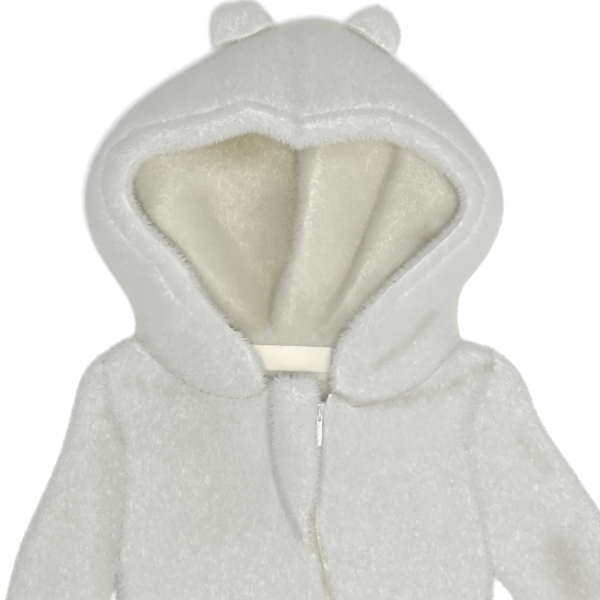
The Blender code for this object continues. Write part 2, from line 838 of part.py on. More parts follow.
def leg_rows(starts, outer, inner, fractions_of):
    """Plan rows of a leg below the crotch row, whose plan is starts."""
    rows = [starts]
    start_fractions = path_fractions(starts)
    for k in range(len(outer)):
        width = np.linalg.norm(inner[k] - outer[k])
        t = smooth((k + 1) / 2.0)
        fractions = mix(start_fractions, fractions_of(width), t)
        rows.append(mix(outer[k], inner[k], fractions[:, None]))
    return np.array(rows)


def lip_wall(xy):
    """The fronts' wall, thin along the zip where its tape is sewn on."""
    off = np.abs(xy[..., 0] - zip_x(xy[..., 1]))
    wall = np.full(xy.shape[:-1], WALL)
    wall = np.where(off < 0.021, 0.0052, wall)
    wall = np.where(off < 0.0165, 0.0040, wall)
    return np.where(off < LIP_REACH + 0.0035, LIP_WALL, wall)


def add_plan_sheet(name, blocks, up, colour, walls=None):
    """A panel of one layer from blocks of plan rows that share points."""
    numbers = {}
    plan = []
    quads = []
    for rows in blocks:
        ids = np.zeros(rows.shape[:2], int)
        for i, j in np.ndindex(*ids.shape):
            key = tuple(np.round(rows[i, j], 8))
            if key not in numbers:
                numbers[key] = len(plan)
                plan.append(rows[i, j])
            ids[i, j] = numbers[key]
        quads += grid_quads(ids)
    plan = np.array(plan)
    points, normals = layer(plan, up)
    wall = np.full(len(plan), WALL) if walls is None else walls(plan)
    return add_sheet(name, points, normals, wall, quads, colour)


def add_front_left():
    """The left front, with the left leg and the inner strip of the right leg."""
    edges, zips = front_rows("left")
    arm, _ = armhole_points("left")
    neck = neck_columns("left")
    shoulder = mix(arm[0], neck[0], np.array([[0.0], [0.5]]))
    corner = neck[-1]
    free = mix(corner, zips[0], np.array([[0.33], [0.6], [0.8], [1.0]]))
    top = np.concatenate([shoulder, neck, free])
    middle = len(top) - len(edge_clear()) - len(ZIP_DISTANCES)

    def low_fractions(width):
        return spread(width, edge_clear(), middle, ZIP_DISTANCES)

    rows = body_rows(top, edges, zips, low_fractions)
    split = 10
    rows = bend_to_crotch(rows, split)
    _, legs = row_levels()
    outer = np.stack([at_level(SIDES, "left", legs), legs], -1)
    inner = np.stack([at_level(INNER_LEGS, "left", legs), legs], -1)
    across = split + 1 - 2 * len(edge_clear())
    left = leg_rows(
        rows[-1, : split + 1], outer, inner,
        lambda width: spread(width, edge_clear(), across, edge_clear()),
    )
    inseam = np.stack([at_level(INNER_LEGS, "right", legs), legs], -1)
    right = leg_rows(
        rows[-1, split:], inseam, zip_edge(legs, -1.0),
        lambda width: spread(width, edge_clear()[:3], 1, ZIP_DISTANCES[:2]),
    )
    add_plan_sheet("front_left", [rows, left, right], 1.0, FLEECE, lip_wall)


def bend_to_crotch(rows, split):
    """Moves one column of a panel to the crotch, easing in over the lowest rows."""
    rows = rows.copy()
    easing = 4
    for k in range(1, easing + 1):
        row = rows[-k]
        t = smooth((easing + 1 - k) / easing)
        fractions = path_fractions(row)
        goal = (CROTCH[0] - row[0, 0]) / (row[-1, 0] - row[0, 0])
        moved = np.where(
            fractions <= fractions[split],
            fractions / fractions[split] * goal,
            1.0 - (1.0 - fractions) / (1.0 - fractions[split]) * (1.0 - goal),
        )
        new = mix(fractions, moved, t)
        rows[-k] = mix(row[0], row[-1], new[:, None])
    rows[-1, split] = CROTCH
    return rows


def add_front_right():
    """The right front, from the side seam to the zip."""
    edges, zips = front_rows("right")
    arm, _ = armhole_points("right")
    neck = neck_columns("right")
    shoulder = mix(arm[0], neck[0], np.array([[0.0], [0.5]]))
    top = np.concatenate([shoulder, neck])
    middle = len(top) - len(edge_clear()) - len(ZIP_DISTANCES)

    def low_fractions(width):
        return spread(width, edge_clear(), middle, ZIP_DISTANCES)

    rows = body_rows(top, edges, zips, low_fractions)
    _, legs = row_levels()
    outer = np.stack([at_level(SIDES, "right", legs), legs], -1)
    leg = leg_rows(rows[-1], outer, zip_edge(legs, 1.0), low_fractions)
    add_plan_sheet("front_right", [rows, leg], 1.0, FLEECE, lip_wall)


def add_back():
    """The back with both legs, flat on the floor."""
    tops = []
    for side in ("left", "right"):
        arm, _ = armhole_points(side)
        nape = nape_columns(side)
        shoulder = mix(arm[0], nape[0], np.array([[0.0], [0.5]]))
        tops.append(np.concatenate([shoulder, nape]))
    top = np.concatenate([tops[0], tops[1][::-1][1:]])
    edges, _ = front_rows("left")
    others, _ = front_rows("right")
    half = len(top) // 2
    middle = len(top) - 2 * len(edge_clear())

    def low_fractions(width):
        return spread(width, edge_clear(), middle, edge_clear())

    rows = body_rows(top, edges, others, low_fractions)
    rows = bend_to_crotch(rows, half)
    _, legs = row_levels()
    blocks = [rows]
    across = half + 1 - 2 * len(edge_clear())
    for side, part in (("left", rows[-1, : half + 1]), ("right", rows[-1, half:][::-1])):
        outer = np.stack([at_level(SIDES, side, legs), legs], -1)
        inner = np.stack([at_level(INNER_LEGS, side, legs), legs], -1)
        block = leg_rows(
            part, outer, inner,
            lambda width: spread(width, edge_clear(), across, edge_clear()),
        )
        blocks.append(block if side == "left" else block[:, ::-1])
    add_plan_sheet("back", blocks, -1.0, FLEECE)


def add_hood_half(side):
    grids = hood_grid(
        side, HOOD_STEPS, HOOD_FLOOR_STEPS, HOOD_UPPER_STEPS, EDGE_ANGLES, RIM_DISTANCES
    )
    outer, normals, walls = grids
    hem_line = RIM_DISTANCES.index(0.0160)
    outer[1:-1, hem_line] -= normals[1:-1, hem_line] * SEAM_DIP
    add_grid("hood_" + side, outer, normals, walls, FLEECE)


def sleeve_plan(side, s, fractions):
    """One line across a sleeve, from its outer edge to its inner one."""
    rows = SLEEVE_LEFT if side == "left" else SLEEVE_RIGHT
    arms = ARMHOLE_LEFT if side == "left" else ARMHOLE_RIGHT
    outer = np.array([along(rows, "outer_x", s), along(rows, "outer_y", s)])
    inner = np.array([along(rows, "inner_x", s), along(rows, "inner_y", s)])
    line = mix(outer, inner, fractions[:, None])
    arm = curve_points(arms, "x", "y", fractions)
    bow = arm - mix(arm[0], arm[-1], fractions[:, None])
    return line + bow * (1.0 - smooth(s / 0.5))


def add_sleeve(side):
    """A sleeve: one piece, wrapped round its outer edge, with the seam under the arm."""
    _, arm_fractions = armhole_points(side)
    upper, lower = [], []
    for s in np.linspace(0.0, 1.0, 11):
        rows = SLEEVE_LEFT if side == "left" else SLEEVE_RIGHT
        span = np.hypot(
            along(rows, "outer_x", s) - along(rows, "inner_x", s),
            along(rows, "outer_y", s) - along(rows, "inner_y", s),
        )
        own = spread(float(span), edge_clear(), 5, edge_clear())
        fractions = mix(arm_fractions, own, smooth(s / 0.3))
        line = sleeve_plan(side, s, fractions)
        upper.append(surface_above(line[::-1]))
        lower.append(surface_below(line[1:]))
    points = np.array([np.concatenate([a[0], b[0]]) for a, b in zip(upper, lower)])
    normals = np.array([np.concatenate([a[1], b[1]]) for a, b in zip(upper, lower)])
    points[0, :, 0] += -ARMHOLE_EASE if side == "left" else ARMHOLE_EASE
    walls = np.full(points.shape[:2], WALL)
    add_grid("sleeve_" + side, points, normals, walls, FLEECE)


def add_foot(side):
    """The upper and the sole of one foot."""
    plan = []
    for s in np.linspace(0.0, 1.0, 10):
        outer, inner = foot_section(side, s)
        width = float(np.linalg.norm(outer - inner))
        clear = [min(d, width * f) for d, f in zip(edge_clear(), (0.0, 0.12, 0.25, 0.36))]
        fractions = spread(width, clear, 1, clear)
        plan.append(mix(outer, inner, fractions[:, None]))
    plan = np.array(plan)
    add_plan_sheet("foot_upper_" + side, [plan], 1.0, FLEECE)
    add_plan_sheet("sole_" + side, [plan], -1.0, FLEECE)


def add_ear(side):
    """An ear: two layers, one on the other, standing out from the hood's top edge."""
    rows = EAR_LEFT if side == "left" else EAR_RIGHT
    across = np.array([0.0, 0.06, 0.2, 0.4, 0.6, 0.8, 0.94, 1.0])
    up = np.linspace(0.0, 1.0, 9)
    wall = along(rows, "wall", up)[:, None]
    left = curve_points(rows, "left_x", "left_y", up)[:, None]
    right = curve_points(rows, "right_x", "right_y", up)[:, None]
    plan = mix(left, right, across[None, :, None])
    arch = np.sqrt(np.clip(1.0 - (2 * across - 1.0) ** 2, 0.0, 1.0)) ** 0.6
    height = 0.0012 + (wall / 2 - 0.0012) * arch[None]
    middle = (EAR_MIDDLE_Z - EAR_DROOP * up**2)[:, None] + np.zeros(height.shape)
    for name, sign in (("front", 1.0), ("back", -1.0)):
        points = np.concatenate([plan, (middle + sign * height)[..., None]], -1)
        normals = np.zeros(points.shape)
        normals[..., 2] = sign
        walls = height - SEAM_GAP / 2
        add_grid(f"ear_{side}_{name}", points, normals, walls, FLEECE, 0.0)


# Zip, guard and label

def ribbon(name, levels, left, right, top, wall, colour, metallic=0.0):
    """A flat strip along the zip: offsets to both sides of its line and a depth."""
    x = zip_x(levels)
    middle = np.stack([x, levels], -1)
    ground = surface_above(middle)[0][:, 2] - top
    rows = []
    for offset in (left, right):
        rows.append(np.stack([x + offset, levels, ground], -1))
    points = np.stack(rows, 1)
    normals = np.zeros(points.shape)
    normals[..., 2] = 1.0
    walls = np.full(points.shape[:2], wall)
    obj = add_grid(name, points, normals, walls, colour, 0.0)
    obj.data.materials[0].node_tree.nodes["Principled BSDF"].inputs[
        "Metallic"
    ].default_value = metallic
    return obj


def add_zip():
    """Two tapes and the closed chain between them."""
    tape_levels = np.linspace(TAPE_TOP_Y, ZIP_END_Y, 34)
    side = CHAIN_WIDTH / 2 + SEAM_GAP
    ribbon("zip_tape_left", tape_levels, -TAPE_REACH, -side, TAPE_DEPTH, TAPE_WALL, TAPE)
    ribbon("zip_tape_right", tape_levels, side, TAPE_REACH, TAPE_DEPTH, TAPE_WALL, TAPE)
    start = SLIDER_Y - SLIDER_LENGTH / 2 - SEAM_GAP
    levels = np.linspace(start, ZIP_END_Y, 32)
    half = CHAIN_WIDTH / 2
    ribbon("zip_chain", levels, -half, half, CHAIN_DEPTH, CHAIN_WALL, TAPE)


def add_guard():
    """The furry tongue that lies on the left front beside the zip."""
    levels = np.concatenate([[-0.001, -0.0025, -0.005], np.linspace(-0.012, -0.103, 12)])
    left = at_level(GUARD, "left", levels)
    right = at_level(GUARD, "right", levels)
    across = np.array([0.0, 0.07, 0.22, 0.42, 0.62, 0.82, 0.94, 1.0])
    x = mix(left[:, None], right[:, None], across[None])
    y = np.repeat(levels[:, None], len(across), 1)
    plan = np.stack([x, y], -1)
    base = surface_above(plan)[0]
    width = right - left
    full = np.minimum(GUARD_WALL, GUARD_EDGE_WALL + width * 0.16)
    full = full * np.clip((0.004 - levels) / 0.012, 0.35, 1.0)
    arch = np.sqrt(np.clip(1.0 - (2 * across - 1.0) ** 2, 0.0, 1.0))
    wall = GUARD_EDGE_WALL + np.maximum(full - GUARD_EDGE_WALL, 0.0)[:, None] * arch[None]
    points = base.copy()
    points[..., 2] += SEAM_GAP + wall
    normals = np.zeros(points.shape)
    normals[..., 2] = 1.0
    add_grid("zip_guard", points, normals, wall, FLEECE, 0.0)


def slider_frame():
    """Where the slider sits on the cloth: the place, and the turn about X that lies along it."""
    x = float(zip_x(SLIDER_Y))
    reach = SLIDER_LENGTH / 2
    plan = np.array([[x, SLIDER_Y - reach], [x, SLIDER_Y], [x, SLIDER_Y + reach]])
    z = surface_above(plan)[0][:, 2]
    turn = math.atan2(z[2] - z[0], SLIDER_LENGTH)
    return Vector((x, SLIDER_Y, z[1])), Matrix.Rotation(turn, 4, "X")


def place_on_cloth(parts, lift=0.0):
    """Turns parts modelled about the origin so that they lie along the cloth at the slider."""
    place, turn = slider_frame()
    for part in parts:
        part.matrix_world = Matrix.Translation(place) @ turn @ Matrix.Translation((0, 0, lift))
    bpy.context.view_layer.update()


def new_box(name, size, location):
    """A box about the origin's surroundings: its mesh holds both its size and its place."""
    bpy.ops.mesh.primitive_cube_add(size=1.0)
    box = bpy.context.object
    box.name = name
    box.data.transform(Matrix.Translation(location) @ Matrix.Diagonal((*size, 1.0)))
    for collection in list(box.users_collection):
        collection.objects.unlink(box)
    return box


def join_solids(target, tools):
    """Unites solids into target with Boolean unions."""
    cutters = bpy.data.collections["cutters"]
    for tool in tools:
        if tool.name not in cutters.objects:
            cutters.objects.link(tool)
        tool.hide_render = True
        tool.display_type = "WIRE"
        union = target.modifiers.new("union_" + tool.name, "BOOLEAN")
        union.operation = "UNION"
        union.object = tool


def wire(name, points, radius):
    """A closed round wire through points, as a mesh."""
    curve = bpy.data.curves.new(name, "CURVE")
    curve.dimensions = "3D"
    curve.bevel_depth = radius
    curve.bevel_resolution = 2
    curve.use_fill_caps = True
    line = curve.splines.new("POLY")
    line.points.add(len(points) - 1)
    for point, place in zip(line.points, points):
        point.co = (*place, 1.0)
    holder = bpy.data.objects.new(name + "_line", curve)
    bpy.context.scene.collection.objects.link(holder)
    bpy.context.view_layer.update()
    graph = bpy.context.evaluated_depsgraph_get()
    mesh = bpy.data.meshes.new_from_object(holder.evaluated_get(graph))
    work = bmesh.new()
    work.from_mesh(mesh)
    bmesh.ops.remove_doubles(work, verts=work.verts, dist=0.00001)
    bmesh.ops.recalc_face_normals(work, faces=work.faces)
    work.to_mesh(mesh)
    work.free()
    solid = bpy.data.objects.new(name, mesh)
    bpy.data.objects.remove(holder)
    bpy.data.curves.remove(curve)
    return solid


def add_slider():
    """The slider: two plates, the post between them and an arch for the pull."""
    top = -PLATE_DEPTH - PLATE_WALL / 2
    size = (SLIDER_WIDTH, SLIDER_LENGTH, PLATE_WALL)
    upper = new_box("zip_slider", size, (0.0, 0.0, top))
    lower = new_box("slider_lower", size, (0.0, 0.0, top - SLIDER_HEIGHT + PLATE_WALL))
    post_size = (POST_WIDTH, POST_LENGTH, SLIDER_HEIGHT - PLATE_WALL)
    post = new_box("slider_post", post_size, (0.0, POST_Y, top - post_size[2] / 2))
    crown = HINGE_LIFT + PULL_WALL / 2 + ARCH_WIRE + SEAM_GAP
    shoulder = crown - ARCH_ROUND
    half = ARCH_LENGTH / 2
    points = [(0.0, -half, top)]
    for k in range(7):
        turn = math.pi * k / 6
        points.append((0.0, -half * math.cos(turn), shoulder + ARCH_ROUND * math.sin(turn)))
    points.append((0.0, half, top))
    arch = wire("slider_arch", points, ARCH_WIRE)
    bpy.data.collections[NAME].objects.link(upper)
    join_solids(upper, [lower, post, arch])
    place_on_cloth([upper, lower, post, arch])
    give_material(upper, ENAMEL, 0.3, 0.2)


def arc(middle_y, radius, start, end, steps):
    """Points of an arc about a place on the pull's middle line, between two angles."""
    turns = np.linspace(math.radians(start), math.radians(end), steps)
    return [(radius * math.cos(t), middle_y + radius * math.sin(t)) for t in turns]


def add_pull():
    """The pull: a narrow flat bar with an eye, whose top lies under the slider's arch.

    Its origin is on its hinge, the middle of the stretch that crosses under the arch.
    """
    wide = PULL_HALF_WIDTH
    end = -PULL_LENGTH
    top_y = -(wide + EYE_HALF_WIDTH) / 2
    waist = (EYE_END_Y + end) / 2
    outer = arc(top_y, wide, 0.0, 180.0, 9)
    outer += [(-wide, EYE_END_Y), (-wide, waist), (-wide * 0.75, end + wide * 0.4), (0.0, end)]
    outer += [(wide * 0.75, end + wide * 0.4), (wide, waist), (wide, EYE_END_Y)]
    inner = arc(top_y, EYE_HALF_WIDTH, 0.0, 180.0, 9)
    inner += arc(EYE_END_Y, EYE_HALF_WIDTH, 180.0, 360.0, 7)
    half = PULL_WALL / 2
    rings = [(outer, half), (inner, half), (inner, -half), (outer, -half)]
    points = [(x, y, z) for ring, z in rings for x, y in ring]
    n = len(outer)
    faces = []
    for k in range(4):
        a, b = k * n, (k + 1) % 4 * n
        faces += [(a + i, a + (i + 1) % n, b + (i + 1) % n, b + i) for i in range(n)]
    pull = make_object("zip_pull", points, faces, ENAMEL, 0.3, 0.2)
    place_on_cloth([pull], HINGE_LIFT)


def add_label():
    """The bare satin label on the inside of the back, below the nape."""
    half_x, half_y = LABEL_SIZE[0] / 2, LABEL_SIZE[1] / 2
    u = np.linspace(-half_x, half_x, 9)
    v = np.array([-half_y, 0.0, half_y])
    grid = np.stack(np.meshgrid(u, v, indexing="ij"), -1)
    cos, sin = math.cos(LABEL_TILT), math.sin(LABEL_TILT)
    x = LABEL_MIDDLE[0] + grid[..., 0] * cos - grid[..., 1] * sin
    y = LABEL_MIDDLE[1] + grid[..., 0] * sin + grid[..., 1] * cos
    z = np.full(x.shape, WALL + SEAM_GAP + LABEL_WALL)
    points = np.stack([x, y, z], -1)
    normals = np.zeros(points.shape)
    normals[..., 2] = 1.0
    walls = np.full(x.shape, LABEL_WALL)
    add_grid("neck_label", points, normals, walls, SATIN, 0.0)


def clear_scene():
    for obj in list(bpy.data.objects):
        bpy.data.objects.remove(obj)


def main():
    clear_scene()
    for name in (NAME, "cutters"):
        collection = bpy.data.collections.new(name)
        bpy.context.scene.collection.children.link(collection)
    for side in ("left", "right"):
        add_hood_half(side)
        add_ear(side)
        add_sleeve(side)
        add_foot(side)
    add_front_left()
    add_front_right()
    add_back()
    add_zip()
    add_guard()
    add_slider()
    add_pull()
    add_label()


main()
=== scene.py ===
"""Looks of a hooded footed onesie in white teddy fleece, laid flat on its back.

Each fleece panel is a thin cloth on its solid's form, with a pile of hairs on every face that
shows. Lengths are in metres, and a pixel of the photograph is 0.6 mm.
"""

import math
from types import SimpleNamespace

import bmesh
import bpy
import numpy as np
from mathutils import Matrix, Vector
from mathutils.bvhtree import BVHTree
from mathutils.kdtree import KDTree


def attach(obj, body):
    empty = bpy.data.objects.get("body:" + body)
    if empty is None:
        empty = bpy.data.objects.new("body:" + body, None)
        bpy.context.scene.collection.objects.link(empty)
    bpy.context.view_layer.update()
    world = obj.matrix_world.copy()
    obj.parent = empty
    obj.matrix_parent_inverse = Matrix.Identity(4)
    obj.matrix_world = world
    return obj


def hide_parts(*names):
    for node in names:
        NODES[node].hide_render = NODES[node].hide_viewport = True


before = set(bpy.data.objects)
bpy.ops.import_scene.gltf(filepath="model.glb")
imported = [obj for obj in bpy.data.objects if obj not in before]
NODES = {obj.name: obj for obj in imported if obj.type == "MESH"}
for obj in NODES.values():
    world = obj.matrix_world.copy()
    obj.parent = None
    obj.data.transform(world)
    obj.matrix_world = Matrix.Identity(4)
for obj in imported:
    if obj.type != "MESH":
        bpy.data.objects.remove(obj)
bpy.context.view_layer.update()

# The photograph: a pixel's size, and the pixel that lies over the frame's origin
PIXEL = 0.0006
MIDDLE_PIXEL = (300.0, 376.0)

# Reading the solids: points closer than this are one, and flat triangles become quads
WELD = 0.00002
JOIN_ANGLE = math.radians(40)
JOIN_SHAPE = math.radians(60)

# Seams: how near another panel is, how squarely it faces, how far the gap is closed, and how
# crisp the edge stays. The zip guard is sewn down by its underside alone.
SEAM_GAP = 0.0013
TOUCHING = 1e-6
SEAM_FACING = 0.7
SEAM_CLOSE = 0.0009
FRONT_CLOSE = 0.0008
SEAM_SHARPNESS = 0.8
GUARD_SEAM_FACING = -0.5

# Cloth: how far it is set in to make room for the pile, at most this share of the wall
INSET = 0.0024
THIN_SHARE = 0.30
FULL_WALL = 0.012
RAY_START = 0.00005
ROUNDING = 1
HOOD_ROUNDING = 2

# A face looks up where its normal's height is over the first, and down where it is under the
# second. A place times the third loses its height.
FACING_UP = 0.2
UNDERSIDE = -0.35
LEVEL = np.array([1.0, 1.0, 0.0])

# The middle of the face opening, which the hood's pile is combed away from
FACE_MIDDLE = np.array([0.0, 0.088, 0.030])

# The hood's floor: its middle and reach, how high its cloth may rise, where it blends into the
# rest, how low its upper and under faces may sink, and where its folds are evened out
FLOOR_MIDDLE = (-0.004, 0.098)
FLOOR_REACH = (0.118, 0.112)
FLOOR_TOP = 0.0305
FLOOR_FADE = 0.25
FLOOR_LAYER_TOP = 0.040
FLOOR_NECK = 0.022
FLOOR_BLEND = 0.012
UPPER_LOWEST = 0.0030
UNDER_LOWEST = 0.0005
SMOOTHED_TOP = 0.036
SMOOTHED_NECK = 0.02
SMOOTHING_ROUNDS = 3

# The hem of the face opening: its width, its lowest height and its stitch line
HEM_WIDTH = 0.013
HEM_LOWEST = 0.028
STITCH_OFFSET = 0.0165
STITCH_REACH = 0.0022
STITCH_DEPTH = 0.0010
STITCH_WIDTH = 0.0025
STITCH_LOWEST = 0.030
STITCH_FACING = 0.25
RIM_STEPS = 14

# Creases of the outer face: how far they sink, and how high a face lies to have them
CREASE_DEPTH = 0.0022
CREASE_LOWEST = 0.010

# Hairs on a square metre, and where the nearer pile thins out to that of the lower half
NEAR_DENSITY = 3.5e6
UPPER_DENSITY = 2.0e6
UNDER_DENSITY = 0.5e6
NEAR_LEVEL = -0.150
FAR_LEVEL = -0.230
LEAST_OPEN = 0.04
FEWEST_HAIRS = 3

# The seed of all random draws
SEED = 11

# A hair's length and width, each with its least and greatest share
PILE_LENGTH = 0.0046
LENGTH_SPREAD = (0.90, 1.03)
HAIR_WIDTH = 0.00031
WIDTH_SPREAD = (0.7, 1.3)
FLOOR_CLEAR = 0.0004

# Hairs are longer where they stand up or cover a seam, and shorter in seams, stitches and folds
FUZZ_LENGTH = 0.25
HEM_LENGTH = 0.05
COVER_LENGTH = 0.3
CRUSHED_LENGTH = 0.4
SEAM_LENGTH = 0.6
STITCH_LENGTH = 0.35
GUARD_LENGTH = 1.05
EAR_LENGTH = 0.65

# Which way hairs lie: down the garment, sinking, and turned here and there by noise, each with
# its amount, size and seed
DOWNWARD = np.array([0.15, -1.0, 0.0])
SINK = 1.2
TURNS = ((0.4, 0.030, 5), (0.2, 0.0060, 6))

# How far hairs lean over and stray from each other
LEAN = 0.95
LEAN_CHANGE = 0.15
LEAN_PATCH = 0.008
LEAN_SEED = 9
UNDER_LEAN = 0.5
STRAY = 0.36
FUZZ = 0.22

# Hairs at a seam lie over it, less so at the ears, and those of the hem's edge lean into the
# opening. A point that has no seam or stitch line is as good as far from one.
SEAM_REACH = 0.0035
SEAM_PULL = 1.6
SEAM_HIDDEN = 1.0
EAR_HIDDEN = 0.4
FAR = 1.0
HEM_TURN = 0.6
HEM_EDGE_POWER = 6

# Where hairs stand up in all ways: at seams and on the zip guard
SEAM_FUZZ = 0.7
SEAM_FUZZ_REACH = 0.005
GUARD_FUZZ = 0.5

# Clumps of hairs that lean together at their tips
CLUMP_SIZE = 0.0030
CLUMP_PULL = 0.12
CLUMP_SPREAD = (0.6, 1.2)
CLUMP_FLATNESS = 0.8

# A hair is a flat blade that faces between its cloth's own way and the sky, and it is lit from
# there with a little of its own lean
UPWARD = np.array([0.0, 0.0, 2.2])
BLADE_TWIST = 0.15
LIT_LEAN = 0.16

# The zip guard's pile: its middle line in pixels, and how it fans out from that
GUARD_MIDDLE = [(296, 402), (304, 540)]
GUARD_REACH = 0.011
GUARD_FAN = 1.6
GUARD_DOWNWARD = 0.6

# Open air over a point: where its rays start, how far they go, and their tilts and turns
OPEN_START = 0.0012
OPEN_REACH = 0.25
OPEN_TURNS = [(0.0, 0.0)]
OPEN_TURNS += [(math.radians(38), math.radians(60 * k)) for k in range(6)]
OPEN_TURNS += [(math.radians(68), math.radians(45 * k + 20)) for k in range(8)]

# The label: its middle, half its length and width, its turn, and the cloth's height under it
LABEL_MIDDLE = (-0.0070, 0.0105)
LABEL_HALF = (0.0270, 0.0086)
LABEL_TURN = math.radians(-2.0)
LABEL_HEIGHT = 0.012

# The inner face, given painted warm bounce light: where it lies in the hood, and its share in the
# nape and in gaps
INNER_SEEN_TOP = 0.034
INNER_FLOOR_TOP = 0.030
INNER_FACING = 0.35
NAPE_SHARE = 0.8
OPEN_LOSS = 0.5
GAP_SHARE = 0.6
GAP_POWER = 1.5
FOLDED_FROM = 0.3
MOST_LAYERS = 4
FIRST_STEP = 0.0004
NEXT_STEP = 0.0002

# Colours
# Painted shade at the pile's roots: a little darker and warmer than the tips, where hairs shadow
# each other
PILE_ROOT_PAINTED_SHADE = (0.670, 0.670, 0.655, 1.0)
PILE_TIP = (0.690, 0.692, 0.682, 1.0)
PILE_DULL = (0.965, 0.965, 0.955, 1.0)
# Painted warm bounce light: a tint that lifts red and green and lowers blue where the pile is
# enclosed
PAINTED_BOUNCE_TINT = (1.09, 1.07, 0.91, 1.0)
# Painted shade in creases, folds and hollows
PAINTED_CREASE_SHADE = (0.60, 0.565, 0.43, 1.0)
OUTER_GROUND = (0.60, 0.60, 0.585, 1.0)
# Painted warm bounce light on the enclosed knit ground
PAINTED_BOUNCE_GROUND = (0.64, 0.625, 0.52, 1.0)
# Painted shadow on the seam faces, which show in the gaps where panels meet
PAINTED_SEAM_SHADOW = (0.44, 0.42, 0.35, 1.0)
KNIT_SHADE = (0.88, 0.88, 0.86, 1.0)
# These tape and coil colours are darker and warmer than the zip itself: painted shade of the
# groove it lies in
TAPE_PAINTED_SHADE_LOW = (0.46, 0.44, 0.36, 1)
TAPE_PAINTED_SHADE_HIGH = (0.60, 0.58, 0.50, 1)
COIL_PAINTED_SHADE_HIGH = (0.66, 0.64, 0.56, 1)
SATIN_LOW = (0.60, 0.58, 0.49, 1)
SATIN_HIGH = (0.69, 0.67, 0.58, 1)
ENAMEL_WORN = (0.48, 0.48, 0.475, 1.0)
ENAMEL_WHITE = (0.60, 0.60, 0.595, 1.0)
FLOOR_WHITE = (0.96, 0.96, 0.96, 1.0)
WHITE = (1.0, 1.0, 1.0, 1.0)
SHINE_THROUGH = 0.30

# Rounded edges of the slider and its pull
EDGE_ROUND = 0.00012
EDGE_ANGLE = math.radians(40)

# Stage: the floor, the camera, which sees the given width at the cloth's mean height, the sky
# and the lights, each with its place, size and power
FLOOR_SIZE = 8.0
FLOOR_DROP = 0.0004
SENSOR = 36.0
CAMERA_HEIGHT = 4.0
CLOTH_HEIGHT = 0.020
VIEW_WIDTH = 0.360
VIEW_MIDDLE = (0.0, 0.0456)
VIEW_END = 20.0
SKY_STRENGTH = 0.42
LIGHTS = {
    "key": ((0.05, -0.08, 2.4), 0.9, 57.5),
    "fill": ((0.9, -0.8, 1.2), 1.0, 6.0),
}
LIGHT_TARGET = (0.0, 0.05, 0.0)

# Panels: the flat cut's width, length and area, and what each lies on
PANELS = {
    "hood_left": (0.23, 0.20, 0.038, ["hood_right", "floor"]),
    "hood_right": (0.24, 0.20, 0.040, ["hood_left", "floor"]),
    "ear_left_front": (0.038, 0.029, 0.0009, ["ear_left_back"]),
    "ear_left_back": (0.038, 0.029, 0.0009, ["hood_left"]),
    "ear_right_front": (0.033, 0.029, 0.0008, ["ear_right_back"]),
    "ear_right_back": (0.033, 0.029, 0.0008, ["hood_right"]),
    "front_left": (0.18, 0.49, 0.064, ["back"]),
    "front_right": (0.12, 0.49, 0.037, ["back"]),
    "back": (0.25, 0.49, 0.104, ["floor"]),
    "sleeve_left": (0.13, 0.20, 0.021, ["floor"]),
    "sleeve_right": (0.14, 0.21, 0.024, ["floor"]),
    "foot_upper_left": (0.073, 0.090, 0.0061, ["sole_left"]),
    "foot_upper_right": (0.073, 0.090, 0.0061, ["sole_right"]),
    "sole_left": (0.073, 0.090, 0.0061, ["floor"]),
    "sole_right": (0.073, 0.090, 0.0061, ["floor"]),
    "zip_guard": (0.027, 0.104, 0.0021, ["front_left"]),
}

# The face opening's edge and the hood's outline, from the top of the face to the neck
RIM_LEFT = [
    (-0.0012, 0.1368, -0.0024, 0.2130),
    (-0.0144, 0.1428, -0.0204, 0.2076),
    (-0.0300, 0.1476, -0.0384, 0.2004),
    (-0.0504, 0.1404, -0.0576, 0.1890),
    (-0.0720, 0.1356, -0.0822, 0.1740),
    (-0.0888, 0.1326, -0.1032, 0.1572),
    (-0.0984, 0.1248, -0.1188, 0.1368),
    (-0.1014, 0.1128, -0.1272, 0.1164),
    (-0.0972, 0.1008, -0.1278, 0.0948),
    (-0.0852, 0.0852, -0.1212, 0.0756),
    (-0.0684, 0.0696, -0.1110, 0.0600),
    (-0.0576, 0.0492, -0.1038, 0.0492),
    (-0.0432, 0.0336, -0.1008, 0.0420),
]
RIM_RIGHT = [
    (-0.0012, 0.1368, -0.0024, 0.2130),
    (0.0132, 0.1392, 0.0156, 0.2142),
    (0.0312, 0.1422, 0.0330, 0.2058),
    (0.0504, 0.1422, 0.0510, 0.1938),
    (0.0672, 0.1356, 0.0696, 0.1794),
    (0.0840, 0.1248, 0.0882, 0.1608),
    (0.0948, 0.1128, 0.1044, 0.1416),
    (0.0972, 0.1008, 0.1176, 0.1218),
    (0.0912, 0.0912, 0.1218, 0.1026),
    (0.0816, 0.0816, 0.1182, 0.0846),
    (0.0600, 0.0624, 0.1080, 0.0672),
    (0.0432, 0.0468, 0.0984, 0.0558),
    (0.0288, 0.0300, 0.0954, 0.0456),
]
